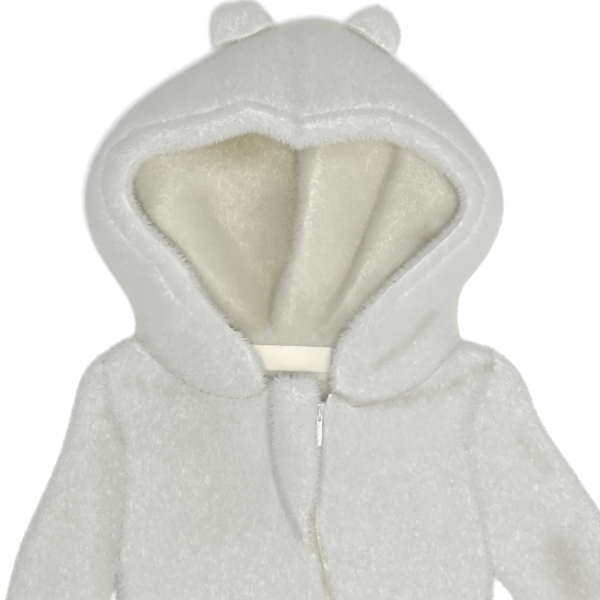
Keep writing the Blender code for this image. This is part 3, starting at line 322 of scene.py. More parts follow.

# Folds inside the hood, as lines of pixels from the top down. Height is how far the cloth rises
# to the right of the line, rise and fade how fast it does and how fast it sinks back, and trough
# how far the line itself sinks over its width. Shade is how much painted shade the pile gets at
# the line, where it is also crushed shorter, and left and right how far that reaches.
INSIDE_FOLDS = [
    {
        "line": [(300, 150), (300, 200), (294, 248), (280, 280), (272, 316), (270, 344)],
        "height": 0.0065, "rise": 0.006, "fade": 0.022, "trough": 0.0, "width": 0.004,
        "shade": 0.75, "left": 0.034, "right": 0.002,
    },
    {
        "line": [(396, 142), (394, 160), (380, 200), (364, 240), (344, 288), (324, 320)],
        "height": 0.0065, "rise": 0.006, "fade": 0.018, "trough": 0.0020, "width": 0.009,
        "shade": 0.45, "left": 0.014, "right": 0.006,
    },
    {
        "line": [(446, 216), (428, 236), (400, 260), (372, 288), (344, 320)],
        "height": 0.0, "rise": 0.006, "fade": 0.010, "trough": 0.0050, "width": 0.008,
        "shade": 0.05, "left": 0.010, "right": 0.010,
    },
    {
        "line": [(132, 196), (144, 218), (172, 248), (200, 280), (216, 304), (252, 340)],
        "height": 0.0060, "rise": 0.007, "fade": 0.014, "trough": 0.0010, "width": 0.005,
        "shade": 0.0, "left": 0.010, "right": 0.010,
    },
    {
        "line": [(204, 196), (216, 224), (248, 256), (264, 288), (270, 340)],
        "height": 0.0, "rise": 0.006, "fade": 0.010, "trough": 0.0050, "width": 0.010,
        "shade": 0.35, "left": 0.012, "right": 0.014,
    },
    {
        "line": [(154, 226), (172, 248), (188, 266), (206, 292), (222, 312)],
        "height": 0.0, "rise": 0.006, "fade": 0.010, "trough": -0.0130, "width": 0.015,
        "shade": 0.0, "left": 0.010, "right": 0.010,
    },
    {
        "line": [(456, 204), (446, 226), (404, 264), (370, 292), (358, 304)],
        "height": 0.0, "rise": 0.006, "fade": 0.010, "trough": -0.0130, "width": 0.015,
        "shade": 0.0, "left": 0.010, "right": 0.010,
    },
]

# Swellings and hollows of the hood's inner cloth: the middle and the reach across and along in
# pixels, and the height
SWELLS = [
    (163, 196, 34, 38, 0.0078),
    (442, 184, 34, 46, 0.0085),
    (196, 262, 22, 40, 0.0035),
    (392, 268, 30, 34, 0.0040),
    (330, 215, 26, 60, 0.0030),
    (262, 196, 30, 46, -0.0050),
    (242, 146, 46, 20, -0.0070),
]

# Places of the inner cloth with painted shade, where the pile is also crushed shorter: middle and
# reach in pixels, and amount
PAINTED_SHADE_HOLLOWS = [
    (242, 143, 52, 26, 1.00),
    (424, 236, 14, 12, 0.60),
    (150, 222, 14, 16, 0.10),
    (330, 150, 60, 12, 0.30),
    (262, 204, 24, 42, 0.48),
    (410, 196, 14, 24, 0.20),
    (300, 308, 20, 24, 0.34),
]

# Creases and seams of the outer face: how much the cloth sinks and the pile gets painted shade,
# how far off in metres, and the line in pixels. Rows past 600 lie below the photograph's lower
# edge and are guessed.
CREASES = [
    (1.00, 0.0024, [(311, 516), (315, 536), (322, 562), (331, 606)]),
    (0.40, 0.0022, [(272, 386), (271, 420), (275, 460), (284, 496), (298, 532)]),
    (0.40, 0.0022, [(320, 436), (321, 460), (319, 492), (311, 518)]),
    (0.45, 0.0022, [(332, 396), (360, 402), (392, 400), (424, 392), (448, 384), (494, 362)]),
    (0.35, 0.0030, [(430, 312), (408, 340), (376, 364)]),
    (0.25, 0.0036, [(128, 382), (168, 392), (188, 386), (216, 412)]),
    (0.20, 0.0036, [(138, 330), (168, 362), (196, 388), (232, 416)]),
    (0.45, 0.0028, [(106, 412), (121, 438)]),
    (0.22, 0.0090, [(104, 436), (112, 480), (108, 530), (104, 606)]),
    (0.40, 0.0100, [(560, 548), (577, 590)]),
    (0.20, 0.0040, [(524, 440), (546, 470)]),
    # The two broad rows below are painted shade over the left chest and the left sleeve
    (0.14, 0.0360, [(196, 440), (214, 510)]),
    (0.10, 0.0240, [(64, 500), (40, 580)]),
    (0.45, 0.0034, [(252, 893), (234, 882), (205, 872), (176, 876)]),
    (0.40, 0.0030, [(286, 891), (300, 874), (318, 858)]),
    (0.30, 0.0040, [(266, 880), (260, 856), (244, 826)]),
    (0.30, 0.0042, [(142, 1012), (168, 1001), (198, 1010), (226, 1004)]),
    (0.22, 0.0036, [(156, 1040), (180, 1046), (208, 1038)]),
    (0.35, 0.0032, [(148, 1122), (182, 1112), (220, 1124)]),
    (0.30, 0.0040, [(384, 1003), (412, 990), (438, 994)]),
    (0.35, 0.0032, [(384, 1126), (406, 1116), (432, 1123)]),
    (0.28, 0.0046, [(140, 742), (170, 764), (204, 768)]),
    (0.30, 0.0042, [(452, 722), (428, 742), (396, 748)]),
    (0.25, 0.0050, [(150, 860), (172, 842), (214, 838)]),
]


# Sums

def unit(v):
    """Vectors scaled to a length of 1."""
    return v / np.maximum(np.linalg.norm(v, axis=-1, keepdims=True), 1e-12)


def smooth(t):
    """A soft step from 0 to 1."""
    t = np.clip(t, 0.0, 1.0)
    return t * t * (3.0 - 2.0 * t)


def from_low(low, share):
    """A number that goes from low to 1 as the share goes from 0 to 1."""
    return low + (1.0 - low) * share


def bell(distance, reach):
    """1 at no distance, fading out past the reach."""
    return np.exp(-((distance / reach) ** 2))


def hashed(cells, seed):
    """A number from 0 to 1 for each whole-number cell, by factors that scatter neighbours."""
    mixed = cells @ np.array([127.1, 311.7, 74.7]) + seed * 53.3
    value = np.sin(mixed) * 43758.5453
    return value - np.floor(value)


def noise(points, size, seed):
    """Smooth noise from -1 to 1."""
    p = points / size
    low = np.floor(p)
    t = smooth(p - low)
    total = np.zeros(len(points))
    for corner in np.ndindex(2, 2, 2):
        c = np.array(corner)
        weight = np.prod(np.where(c == 1, t, 1.0 - t), axis=1)
        total += weight * hashed(low + c, seed)
    return total * 2.0 - 1.0


def clump_centres(points, size):
    """The jittered grid point nearest to each point."""
    home = np.floor(points / size)
    best = np.full(len(points), np.inf)
    centre = np.zeros(points.shape)
    for corner in np.ndindex(3, 3, 3):
        cell = home + np.array(corner) - 1.0
        jitter = np.stack([hashed(cell, k) for k in (1, 2, 3)], -1)
        place = (cell + jitter) * size
        gap = ((points - place) ** 2).sum(1)
        near = gap < best
        best = np.where(near, gap, best)
        centre[near] = place[near]
    return centre


def in_metres(pixels):
    """Places of the photograph's pixels in the frame, as seen from above."""
    return (np.array(pixels, float) - MIDDLE_PIXEL) * (PIXEL, -PIXEL)


def in_pixels(plan):
    """The photograph's pixels for places in the frame."""
    return plan / (PIXEL, -PIXEL) + MIDDLE_PIXEL


def tree_of_points(points):
    """A search tree of points."""
    tree = KDTree(max(len(points), 1))
    for k, p in enumerate(points):
        tree.insert(p, k)
    tree.balance()
    return tree


def plan_distances(points, tree):
    """How far each point is from the nearest one of a level tree, as seen from above."""
    return np.array([tree.find(p)[2] for p in points * LEVEL])


# Materials

def new_material(name, roughness):
    """A material of one roughness, with its nodes and links."""
    material = bpy.data.materials.new(name)
    material.use_nodes = True
    nodes = material.node_tree.nodes
    nodes["Principled BSDF"].inputs["Roughness"].default_value = roughness
    return material, nodes, material.node_tree.links


def stored(nodes, label):
    """A value that the mesh stores at its points."""
    node = nodes.new("ShaderNodeAttribute")
    node.attribute_name = label
    return node.outputs["Fac"]


def mixed(nodes, links, first, second, share, way="MIX"):
    """Two colours mixed, where each side and the share is a value or a node's output."""
    node = nodes.new("ShaderNodeMix")
    node.data_type = "RGBA"
    node.blend_type = way
    for label, value in (("A", first), ("B", second), ("Factor", share)):
        if isinstance(value, bpy.types.NodeSocket):
            links.new(value, node.inputs[label])
        else:
            node.inputs[label].default_value = value
    return node.outputs["Result"]


def grained(nodes, links, scale, detail):
    """Noise that keeps its place on the piece."""
    place = nodes.new("ShaderNodeTexCoord")
    grain = nodes.new("ShaderNodeTexNoise")
    grain.inputs["Scale"].default_value = scale
    grain.inputs["Detail"].default_value = detail
    links.new(place.outputs["Object"], grain.inputs["Vector"])
    return grain.outputs["Fac"]


def ramped(nodes, links, value, low, high, start=0.0, end=1.0):
    """A value turned into a colour from low to high."""
    node = nodes.new("ShaderNodeValToRGB")
    first, last = node.color_ramp.elements
    first.position = start
    first.color = low
    last.position = end
    last.color = high
    links.new(value, node.inputs["Fac"])
    return node.outputs["Color"]


def add_relief(nodes, links, height, strength, depth):
    """Fine relief on the shader's surface."""
    bump = nodes.new("ShaderNodeBump")
    bump.inputs["Strength"].default_value = strength
    bump.inputs["Distance"].default_value = depth
    links.new(height, bump.inputs["Height"])
    links.new(bump.outputs["Normal"], nodes["Principled BSDF"].inputs["Normal"])


def pile_material():
    """Pile: soft and uneven in tone, with painted warm bounce light where it is enclosed, and
    painted shade at its roots and where it is crushed.
    """
    material, nodes, links = new_material("teddy_pile", roughness=0.85)
    shader = nodes["Principled BSDF"]
    shader.inputs["Sheen Weight"].default_value = 0.35
    shader.inputs["Sheen Roughness"].default_value = 0.6
    shader.inputs["Specular IOR Level"].default_value = 0.25
    # Painted shade at the roots, fading to the tip's colour along each hair
    colour = mixed(nodes, links, PILE_ROOT_PAINTED_SHADE, PILE_TIP, stored(nodes, "along"))
    # Painted warm bounce light where the pile is enclosed
    colour = mixed(nodes, links, colour, PAINTED_BOUNCE_TINT, stored(nodes, "inside"), "MULTIPLY")
    # Painted shade in creases, folds and hollows
    colour = mixed(nodes, links, colour, PAINTED_CREASE_SHADE, stored(nodes, "deep"), "MULTIPLY")
    tone = grained(nodes, links, scale=55.0, detail=3.0)
    uneven = ramped(nodes, links, tone, PILE_DULL, WHITE, start=0.3, end=0.7)
    colour = mixed(nodes, links, colour, uneven, 1.0, "MULTIPLY")
    links.new(colour, shader.inputs["Base Color"])
    through = nodes.new("ShaderNodeBsdfTranslucent")
    links.new(colour, through.inputs["Color"])
    both = nodes.new("ShaderNodeMixShader")
    both.inputs["Fac"].default_value = SHINE_THROUGH
    links.new(shader.outputs["BSDF"], both.inputs[1])
    links.new(through.outputs["BSDF"], both.inputs[2])
    links.new(both.outputs["Shader"], nodes["Material Output"].inputs["Surface"])
    return material


def backing_material(name, outer):
    """The knitted ground under the pile."""
    material, nodes, links = new_material(name, roughness=0.95)
    shader = nodes["Principled BSDF"]
    shader.inputs["Sheen Weight"].default_value = 0.5
    knit = grained(nodes, links, scale=900.0, detail=4.0)
    # Painted warm bounce light where the ground is enclosed
    colour = mixed(nodes, links, outer, PAINTED_BOUNCE_GROUND, stored(nodes, "inside"))
    # Painted shade in creases, folds and hollows
    colour = mixed(nodes, links, colour, PAINTED_CREASE_SHADE, stored(nodes, "deep"), "MULTIPLY")
    colour = mixed(nodes, links, colour, KNIT_SHADE, knit, "MULTIPLY")
    links.new(colour, shader.inputs["Base Color"])
    add_relief(nodes, links, knit, strength=0.6, depth=0.0006)
    return material


def woven_material(name, low, high, roughness, scale, depth, sheen):
    """Fine ribbed weave, for the tapes, the coil and the satin label."""
    material, nodes, links = new_material(name, roughness)
    shader = nodes["Principled BSDF"]
    shader.inputs["Sheen Weight"].default_value = sheen
    place = nodes.new("ShaderNodeTexCoord")
    ribs = nodes.new("ShaderNodeTexWave")
    ribs.bands_direction = "Y"
    ribs.inputs["Scale"].default_value = scale
    ribs.inputs["Distortion"].default_value = 0.6
    ribs.inputs["Detail"].default_value = 2.0
    links.new(place.outputs["Object"], ribs.inputs["Vector"])
    colour = ramped(nodes, links, ribs.outputs["Fac"], low, high)
    links.new(colour, shader.inputs["Base Color"])
    add_relief(nodes, links, ribs.outputs["Fac"], strength=0.5, depth=depth)
    return material


def enamel_material():
    """White enamel, faintly worn."""
    material, nodes, links = new_material("white_enamel", roughness=0.28)
    shader = nodes["Principled BSDF"]
    shader.inputs["Coat Weight"].default_value = 0.3
    wear = grained(nodes, links, scale=700.0, detail=2.0)
    colour = ramped(nodes, links, wear, ENAMEL_WORN, ENAMEL_WHITE, start=0.25, end=0.45)
    links.new(colour, shader.inputs["Base Color"])
    return material


PILE = pile_material()
GROUND = backing_material("fleece_ground", OUTER_GROUND)
# Seam faces get a darker warm ground: painted shadow in the gaps between panels
SEAM_GROUND_PAINTED_SHADOW = backing_material("fleece_seam_painted_shadow", PAINTED_SEAM_SHADOW)
# Tapes and coil darkened as painted shade of the zip's groove
ZIP_TAPE_PAINTED_SHADE = woven_material(
    "zip_tape", TAPE_PAINTED_SHADE_LOW, TAPE_PAINTED_SHADE_HIGH, roughness=0.8, scale=420.0, depth=0.0002, sheen=0.2
)
ZIP_COIL_PAINTED_SHADE = woven_material(
    "zip_coil_painted_shade", TAPE_PAINTED_SHADE_LOW, COIL_PAINTED_SHADE_HIGH, roughness=0.4, scale=160.0, depth=0.0005, sheen=0.0
)
SATIN = woven_material(
    "label_satin", SATIN_LOW, SATIN_HIGH, roughness=0.38, scale=700.0, depth=0.0001, sheen=0.1
)
ENAMEL = enamel_material()


# Meshes

def mesh_arrays(mesh):
    """Points, vertex normals, triangles, and each triangle's seam mark."""
    points = np.zeros(len(mesh.vertices) * 3, np.float32)
    mesh.vertices.foreach_get("co", points)
    normals = np.zeros(len(mesh.vertices) * 3, np.float32)
    mesh.vertices.foreach_get("normal", normals)
    mesh.calc_loop_triangles()
    count = len(mesh.loop_triangles)
    corners = np.zeros(count * 3, np.int32)
    mesh.loop_triangles.foreach_get("vertices", corners)
    faces = np.zeros(count, np.int32)
    mesh.loop_triangles.foreach_get("polygon_index", faces)
    marks = np.zeros(len(mesh.polygons), np.int32)
    mesh.polygons.foreach_get("material_index", marks)
    return (
        points.reshape(-1, 3).astype(float),
        normals.reshape(-1, 3).astype(float),
        corners.reshape(-1, 3),
        marks[faces],
    )


def move_points(mesh, points):
    """Puts a mesh's points at new places."""
    mesh.vertices.foreach_set("co", points.astype(np.float32).ravel())
    mesh.update()


def store_values(mesh, label, values):
    """Stores a value at a mesh's points, for its material."""
    attribute = mesh.attributes.new(label, "FLOAT", "POINT")
    attribute.data.foreach_set("value", values.astype(np.float32))


def add_object(name, data):
    """A new object in the scene."""
    made = bpy.data.objects.new(name, data)
    bpy.context.scene.collection.objects.link(made)
    return made


# Lines and areas of the garment

def line_offsets(plan, pixels):
    """Distance of each point from a line of pixels, above zero to its right."""
    line = in_metres(pixels)
    best = np.full(len(plan), np.inf)
    signed = np.zeros(len(plan))
    for a, b in zip(line, line[1:]):
        span = b - a
        t = np.clip(((plan - a) @ span) / (span @ span), 0.0, 1.0)
        gap = plan - (a + t[:, None] * span)
        distance = np.linalg.norm(gap, axis=1)
        right = np.array([-span[1], span[0]])
        near = distance < best
        side = np.where(gap @ right >= 0.0, 1.0, -1.0)
        signed = np.where(near, distance * side, signed)
        best = np.where(near, distance, best)
    return signed


def round_spot(plan, x, y, wide, tall):
    """1 in the middle of a spot that is given in pixels, fading out around it."""
    off = (in_pixels(plan) - (x, y)) / (wide, tall)
    return np.exp(-(off ** 2).sum(1))


def fold_relief(plan):
    """How far the folds lift or sink the floor of the hood."""
    lift = np.zeros(len(plan))
    for fold in INSIDE_FOLDS:
        off = line_offsets(plan, fold["line"])
        past = np.maximum(off, 0.0)
        lift += fold["height"] * smooth(past / fold["rise"]) * np.exp(-past / fold["fade"])
        lift -= fold["trough"] * bell(off, fold["width"])
    for *spot, height in SWELLS:
        lift += height * round_spot(plan, *spot)
    return lift


def fold_shade(plan):
    """How much painted shade the pile gets in the folds, where it is also crushed shorter."""
    shade = np.zeros(len(plan))
    for fold in INSIDE_FOLDS:
        off = line_offsets(plan, fold["line"])
        reach = np.where(off < 0.0, fold["left"], fold["right"])
        shade = np.maximum(shade, fold["shade"] * np.exp(-np.abs(off) / reach))
    for *spot, amount in PAINTED_SHADE_HOLLOWS:
        shade = np.maximum(shade, amount * round_spot(plan, *spot))
    return shade


def crease_share(points, normals):
    """How much the outer cloth sinks at its creases, and how much painted shade its pile gets
    there.
    """
    share = np.zeros(len(points))
    for amount, reach, line in CREASES:
        share = np.maximum(share, amount * bell(line_offsets(points[:, :2], line), reach))
    return share * (normals[:, 2] > FACING_UP) * (points[:, 2] > CREASE_LOWEST)


def floor_share(points):
    """1 on the hood's floor, fading towards its walls, its neck and the layer above."""
    below = smooth((FLOOR_LAYER_TOP - points[:, 2]) / FLOOR_BLEND)
    above_neck = smooth((points[:, 1] - FLOOR_NECK) / FLOOR_BLEND)
    spread = np.linalg.norm((points[:, :2] - FLOOR_MIDDLE) / FLOOR_REACH, axis=1)
    return below * above_neck * smooth((1.0 - spread) / FLOOR_FADE)


def rim_points(offset):
    """Points along the face opening at a distance from its edge, as seen from above."""
    found = []
    for rows in (RIM_LEFT, RIM_RIGHT):
        rows = np.array(rows)
        out = unit(rows[:, 2:] - rows[:, :2])
        line = rows[:, :2] + out * offset
        for a, b in zip(line, line[1:]):
            for t in np.linspace(0.0, 1.0, RIM_STEPS):
                found.append((*(a + (b - a) * t), 0.0))
    return found


def within_face(points):
    """Which points the face opening shows, as seen from above."""
    ring = [row[:2] for row in RIM_LEFT] + [row[:2] for row in RIM_RIGHT[::-1]]
    x, y = points[:, 0], points[:, 1]
    found = np.zeros(len(points), bool)
    for (ax, ay), (bx, by) in zip(ring, ring[1:] + ring[:1]):
        if ay == by:
            continue
        crossing = ax + (y - ay) * (bx - ax) / (by - ay)
        found ^= ((ay > y) != (by > y)) & (x < crossing)
    return found


def under_label(points):
    """Which points of the cloth the label covers."""
    dx = points[:, 0] - LABEL_MIDDLE[0]
    dy = points[:, 1] - LABEL_MIDDLE[1]
    u = dx * math.cos(LABEL_TURN) + dy * math.sin(LABEL_TURN)
    v = -dx * math.sin(LABEL_TURN) + dy * math.cos(LABEL_TURN)
    covered = (np.abs(u) < LABEL_HALF[0]) & (np.abs(v) < LABEL_HALF[1])
    return covered & (points[:, 2] < LABEL_HEIGHT)


STITCHES = tree_of_points(rim_points(STITCH_OFFSET))
RIM = tree_of_points(rim_points(0.0))


# Cloth

def read_node(name):
    """A node's mesh, welded, with its triangles joined to quads."""
    work = bmesh.new()
    work.from_mesh(NODES[name].data)
    bmesh.ops.remove_doubles(work, verts=work.verts, dist=WELD)
    bmesh.ops.join_triangles(
        work,
        faces=work.faces,
        angle_face_threshold=JOIN_ANGLE,
        angle_shape_threshold=JOIN_SHAPE,
    )
    work.normal_update()
    work.faces.ensure_lookup_table()
    return work


def seam_faces(name, work, others):
    """The faces of a panel that lie against another panel along a seam."""
    found = set()
    for face in work.faces:
        centre = face.calc_center_median()
        for tree in others:
            place, _, _, distance = tree.find_nearest(centre, SEAM_GAP)
            if place is None:
                continue
            square = abs((place - centre).normalized() @ face.normal) > SEAM_FACING
            if distance < TOUCHING or square:
                found.add(face.index)
                break
    if name == "zip_guard":
        found = {k for k in found if work.faces[k].normal.z < GUARD_SEAM_FACING}
    return found


def wall_depth(vert, normal, own):
    """How thick the panel is under a point, up to the full wall."""
    start = vert.co - normal * RAY_START
    place = own.ray_cast(start, -normal, FULL_WALL)[0]
    return FULL_WALL if place is None else (place - vert.co).length


def inset_cloth(name, work, seams, own):
    """Thins a panel by the pile's depth where it shows, and closes it at its seams."""
    close = FRONT_CLOSE if name.startswith("front") else SEAM_CLOSE
    moves = {}
    for vert in work.verts:
        open_way = Vector((0.0, 0.0, 0.0))
        seam_way = Vector((0.0, 0.0, 0.0))
        for face in vert.link_faces:
            if face.index in seams:
                seam_way += face.normal
            else:
                open_way += face.normal * face.calc_area() ** 0.5
        move = seam_way.normalized() * close
        if open_way.length > 0.0:
            normal = open_way.normalized()
            move -= normal * min(INSET, THIN_SHARE * wall_depth(vert, normal, own))
        moves[vert] = move
    for vert, move in moves.items():
        vert.co += move


def soften_floor(work, seams):
    """Evens out the folds of a hood's floor, away from its edges."""
    held = {v for f in work.faces if f.index in seams for v in f.verts}
    loose = [
        v for v in work.verts
        if v not in held and v.co.z < SMOOTHED_TOP and v.co.y > SMOOTHED_NECK
    ]
    for _ in range(SMOOTHING_ROUNDS):
        bmesh.ops.smooth_vert(work, verts=loose, factor=0.5, use_axis_z=True)


def mark_seams(work, seams):
    """Gives seam faces the second material, with its painted shadow, and keeps the edges around
    them crisp.
    """
    sharp = work.edges.layers.float.new("crease_edge")
    for edge in work.edges:
        marks = [face.index in seams for face in edge.link_faces]
        if any(marks) and not all(marks):
            edge[sharp] = SEAM_SHARPNESS
    for face in work.faces:
        face.material_index = 1 if face.index in seams else 0
        face.smooth = True


def rounded_mesh(name, work):
    """A smooth mesh from a panel's cage."""
    mesh = bpy.data.meshes.new(name + "_cage")
    work.to_mesh(mesh)
    work.free()
    mesh.materials.append(GROUND)
    mesh.materials.append(SEAM_GROUND_PAINTED_SHADOW)
    cage = add_object(name + "_cage", mesh)
    rounding = cage.modifiers.new("rounding", "SUBSURF")
    rounding.levels = HOOD_ROUNDING if name.startswith("hood") else ROUNDING
    rounding.render_levels = rounding.levels
    bpy.context.view_layer.update()
    graph = bpy.context.evaluated_depsgraph_get()
    fine = bpy.data.meshes.new_from_object(cage.evaluated_get(graph))
    fine.name = name + "_cloth"
    bpy.data.objects.remove(cage)
    return fine


def shape_hood(mesh):
    """Sharpens the folds of the hood's floor and sinks the hem's stitch line."""
    points, normals = mesh_arrays(mesh)[:2]
    lift = fold_relief(points[:, :2]) * floor_share(points)
    low = np.where(normals[:, 2] > 0.0, UPPER_LOWEST, UNDER_LOWEST)
    raised = np.minimum(points[:, 2] + lift, np.maximum(FLOOR_TOP, points[:, 2]))
    points[:, 2] = np.maximum(raised, np.minimum(low, points[:, 2]))
    near = plan_distances(points, STITCHES)
    upper = (normals[:, 2] > FACING_UP) & (points[:, 2] > STITCH_LOWEST)
    points[:, 2] -= STITCH_DEPTH * bell(near, STITCH_WIDTH) * upper
    move_points(mesh, points)


def sink_creases(mesh):
    """Presses the outer creases into a panel's cloth."""
    points, normals = mesh_arrays(mesh)[:2]
    points[:, 2] -= CREASE_DEPTH * crease_share(points, normals)
    move_points(mesh, points)


def make_cloth(name, others, own):
    """The panel's cloth: its solid's form, thinned by the pile's depth on both faces."""
    work = read_node(name)
    seams = seam_faces(name, work, others)
    inset_cloth(name, work, seams, own)
    if name.startswith("hood"):
        soften_floor(work, seams)
    mark_seams(work, seams)
    fine = rounded_mesh(name, work)
    if name.startswith("hood"):
        shape_hood(fine)
    sink_creases(fine)
    return add_object(name + "_cloth", fine)


# What each point of a cloth tells its pile

def openness(points, normals, tree):
    """The share of directions from each point that reach free air."""
    shares = np.zeros(len(points))
    for k, (p, n) in enumerate(zip(points, normals)):
        normal = Vector(n)
        side = normal.orthogonal().normalized()
        other = normal.cross(side)
        start = Vector(p) + normal * OPEN_START
        free = 0
        for tilt, turn in OPEN_TURNS:
            flat = side * math.cos(turn) + other * math.sin(turn)
            way = normal * math.cos(tilt) + flat * math.sin(tilt)
            if tree.ray_cast(start, way, OPEN_REACH)[0] is None:
                free += 1
        shares[k] = free / len(OPEN_TURNS)
    return shares


def layers_below(point, tree):
    """How many faces lie straight below a point."""
    count = 0
    start = point - Vector((0.0, 0.0, FIRST_STEP))
    while count < MOST_LAYERS:
        place = tree.ray_cast(start, Vector((0.0, 0.0, -1.0)))[0]
        if place is None:
            break
        count += 1
        start = place - Vector((0.0, 0.0, NEXT_STEP))
    return count


def inner_share(name, points, normals, tree):
    """1 on the cloth's inner face, which shows in the hood and at the nape, for its painted warm
    bounce light.
    """
    if name == "back":
        return np.where(normals[:, 2] > FACING_UP, NAPE_SHARE, 0.0)
    found = np.zeros(len(points))
    if not name.startswith("hood"):
        return found
    seen = within_face(points) & (points[:, 2] < INNER_SEEN_TOP)
    for k, (p, n) in enumerate(zip(points, normals)):
        if seen[k]:
            found[k] = 1.0
            continue
        below = layers_below(Vector(p), tree)
        if n[2] > 0.0:
            found[k] = below == 1 and p[2] < INNER_FLOOR_TOP and n[2] > INNER_FACING
        else:
            found[k] = below >= 1 and p[1] > 0.0
    return found


def seam_fields(name, points, corners, marks):
    """The way from each point to the nearest seam, and how much the pile there hides it."""
    seam_verts = np.unique(corners[marks == 1])
    if not len(seam_verts):
        return np.full((len(points), 3), FAR), np.zeros(len(points))
    tree = tree_of_points(points[seam_verts])
    nearest = np.array([tree.find(p)[0] for p in points])
    hidden = EAR_HIDDEN if name.startswith("ear") else SEAM_HIDDEN
    return nearest - points, np.full(len(points), hidden)


def stitch_distances(name, points, normals):
    """How far the hood's upper face is from the hem's stitch line."""
    if not name.startswith("hood"):
        return np.full(len(points), FAR)
    return np.where(normals[:, 2] > STITCH_FACING, plan_distances(points, STITCHES), FAR)


def hem_share(name, points):
    """1 on the hem of the face opening, up to its stitch line."""
    if not name.startswith("hood"):
        return np.zeros(len(points))
    near = plan_distances(points, RIM)
    return np.exp(-((near / HEM_WIDTH) ** 4)) * (points[:, 2] > HEM_LOWEST)


def edge_fuzz(name, seam_near, hem):
    """1 where the pile stands up in all ways: at seams, the guard and the face's edge."""
    if name == "zip_guard":
        return np.full(len(seam_near), GUARD_FUZZ)
    return np.maximum(SEAM_FUZZ * bell(seam_near, SEAM_FUZZ_REACH), hem ** HEM_EDGE_POWER)


def cloth_fields(name, arrays, whole):
    """The values at a cloth's points that shape and colour its pile."""
    points, normals, corners, marks = arrays
    share = openness(points, normals, whole)
    to_seam, hidden = seam_fields(name, points, corners, marks)
    inside = inner_share(name, points, normals, whole)
    # Painted warm bounce light: strongest on the inner face and where little sky reaches, weaker
    # where it is open
    shut = GAP_SHARE * (1.0 - share) ** GAP_POWER
    inside = np.maximum(inside * (1.0 - OPEN_LOSS * share), shut)
    # Painted shade in the outer creases, and in the hood's folds and hollows, where the pile is
    # also shorter
    deep = crease_share(points, normals)
    if name.startswith("hood"):
        folds = fold_shade(points[:, :2]) * floor_share(points)
        deep = np.where(inside > FOLDED_FROM, folds, deep)
    hem = hem_share(name, points)
    seam_near = np.linalg.norm(to_seam, axis=1)
    return {
        "root": points,
        "normal": normals,
        "share": share,
        "to_seam": to_seam,
        "seam_near": seam_near,
        "hidden": hidden,
        "stitch_near": stitch_distances(name, points, normals),
        "fuzz": edge_fuzz(name, seam_near, hem),
        "hem": hem,
        "inside": inside,
        "deep": deep,
    }


# Pile

def triangle_hairs(arrays, share):
    """How many hairs each triangle has, and how much broader they are where they are few."""
    points, _, corners, marks = arrays
    a, b, c = (points[corners[:, k]] for k in range(3))
    cross = np.cross(b - a, c - a)
    centre = (a + b + c) / 3
    near = smooth((centre[:, 1] - FAR_LEVEL) / (NEAR_LEVEL - FAR_LEVEL))
    density = UPPER_DENSITY + (NEAR_DENSITY - UPPER_DENSITY) * near
    density = np.where(unit(cross)[:, 2] > UNDERSIDE, density, UNDER_DENSITY)
    broader = (NEAR_DENSITY / density) ** 0.5
    shown = (share[corners].mean(1) > LEAST_OPEN) & (marks == 0) & ~under_label(centre)
    density = np.where(shown, density, 0.0)
    return np.linalg.norm(cross, axis=1) / 2 * density, broader


def pick_roots(hairs, total, random):
    """Each hair's triangle, and how near its root is to each of the three corners."""
    picked = np.searchsorted(np.cumsum(hairs), random.random(total) * hairs.sum())
    picked = np.minimum(picked, len(hairs) - 1)
    r1 = np.sqrt(random.random(total))
    r2 = random.random(total)
    return picked, np.stack([1 - r1, r1 * (1 - r2), r1 * r2], -1)


def root_fields(fields, corners, nearness):
    """The cloth's values at the hairs' roots."""
    at = SimpleNamespace()
    for label, values in fields.items():
        weight = nearness[..., None] if values.ndim == 2 else nearness
        setattr(at, label, (values[corners] * weight).sum(1))
    at.normal = unit(at.normal)
    at.seam = smooth(at.seam_near / SEAM_REACH)
    at.cover = at.hidden * (1.0 - at.seam)
    at.stitch = smooth(at.stitch_near / STITCH_REACH)
    return at


def pile_field(points, normals, outward, sink):
    """Which way the pile lies at each root: down the garment, and outward on the hood."""
    away = unit((points - FACE_MIDDLE) * LEVEL)
    down = DOWNWARD * (1.0 - outward)[:, None] + away * outward[:, None]
    down[:, 2] -= sink
    flat = unit(down - (normals * down).sum(1)[:, None] * normals)
    side = np.cross(normals, flat)
    turn = sum(amount * noise(points, size, seed) for amount, size, seed in TURNS)
    return flat * np.cos(turn)[:, None] + side * np.sin(turn)[:, None]


def guard_spread(root):
    """How the guard's pile fans out from its middle towards its edges."""
    top, end = in_metres(GUARD_MIDDLE)
    t = np.clip((root[:, :2] - top) @ (end - top) / ((end - top) @ (end - top)), 0.0, 1.0)
    away = root * LEVEL
    away[:, :2] -= top + t[:, None] * (end - top)
    far = np.linalg.norm(away, axis=1)
    return unit(away) * (GUARD_FAN * smooth(far / GUARD_REACH))[:, None]


def hair_lie(name, at):
    """Which way each hair lies along the cloth."""
    outward = np.zeros(len(at.root))
    if name.startswith(("hood", "ear")):
        outward = (1.0 - at.inside) * (1.0 - at.hem)
    lie = pile_field(at.root, at.normal, outward, SINK - at.inside)
    lie = unit(lie + unit(at.to_seam) * (SEAM_PULL * at.cover)[:, None])
    if name == "zip_guard":
        lie = GUARD_DOWNWARD * lie + guard_spread(at.root)
    if name.startswith("hood"):
        inward = unit(FACE_MIDDLE - at.root) * (HEM_TURN * at.hem ** HEM_EDGE_POWER)[:, None]
        lie = unit(lie + inward)
    return lie


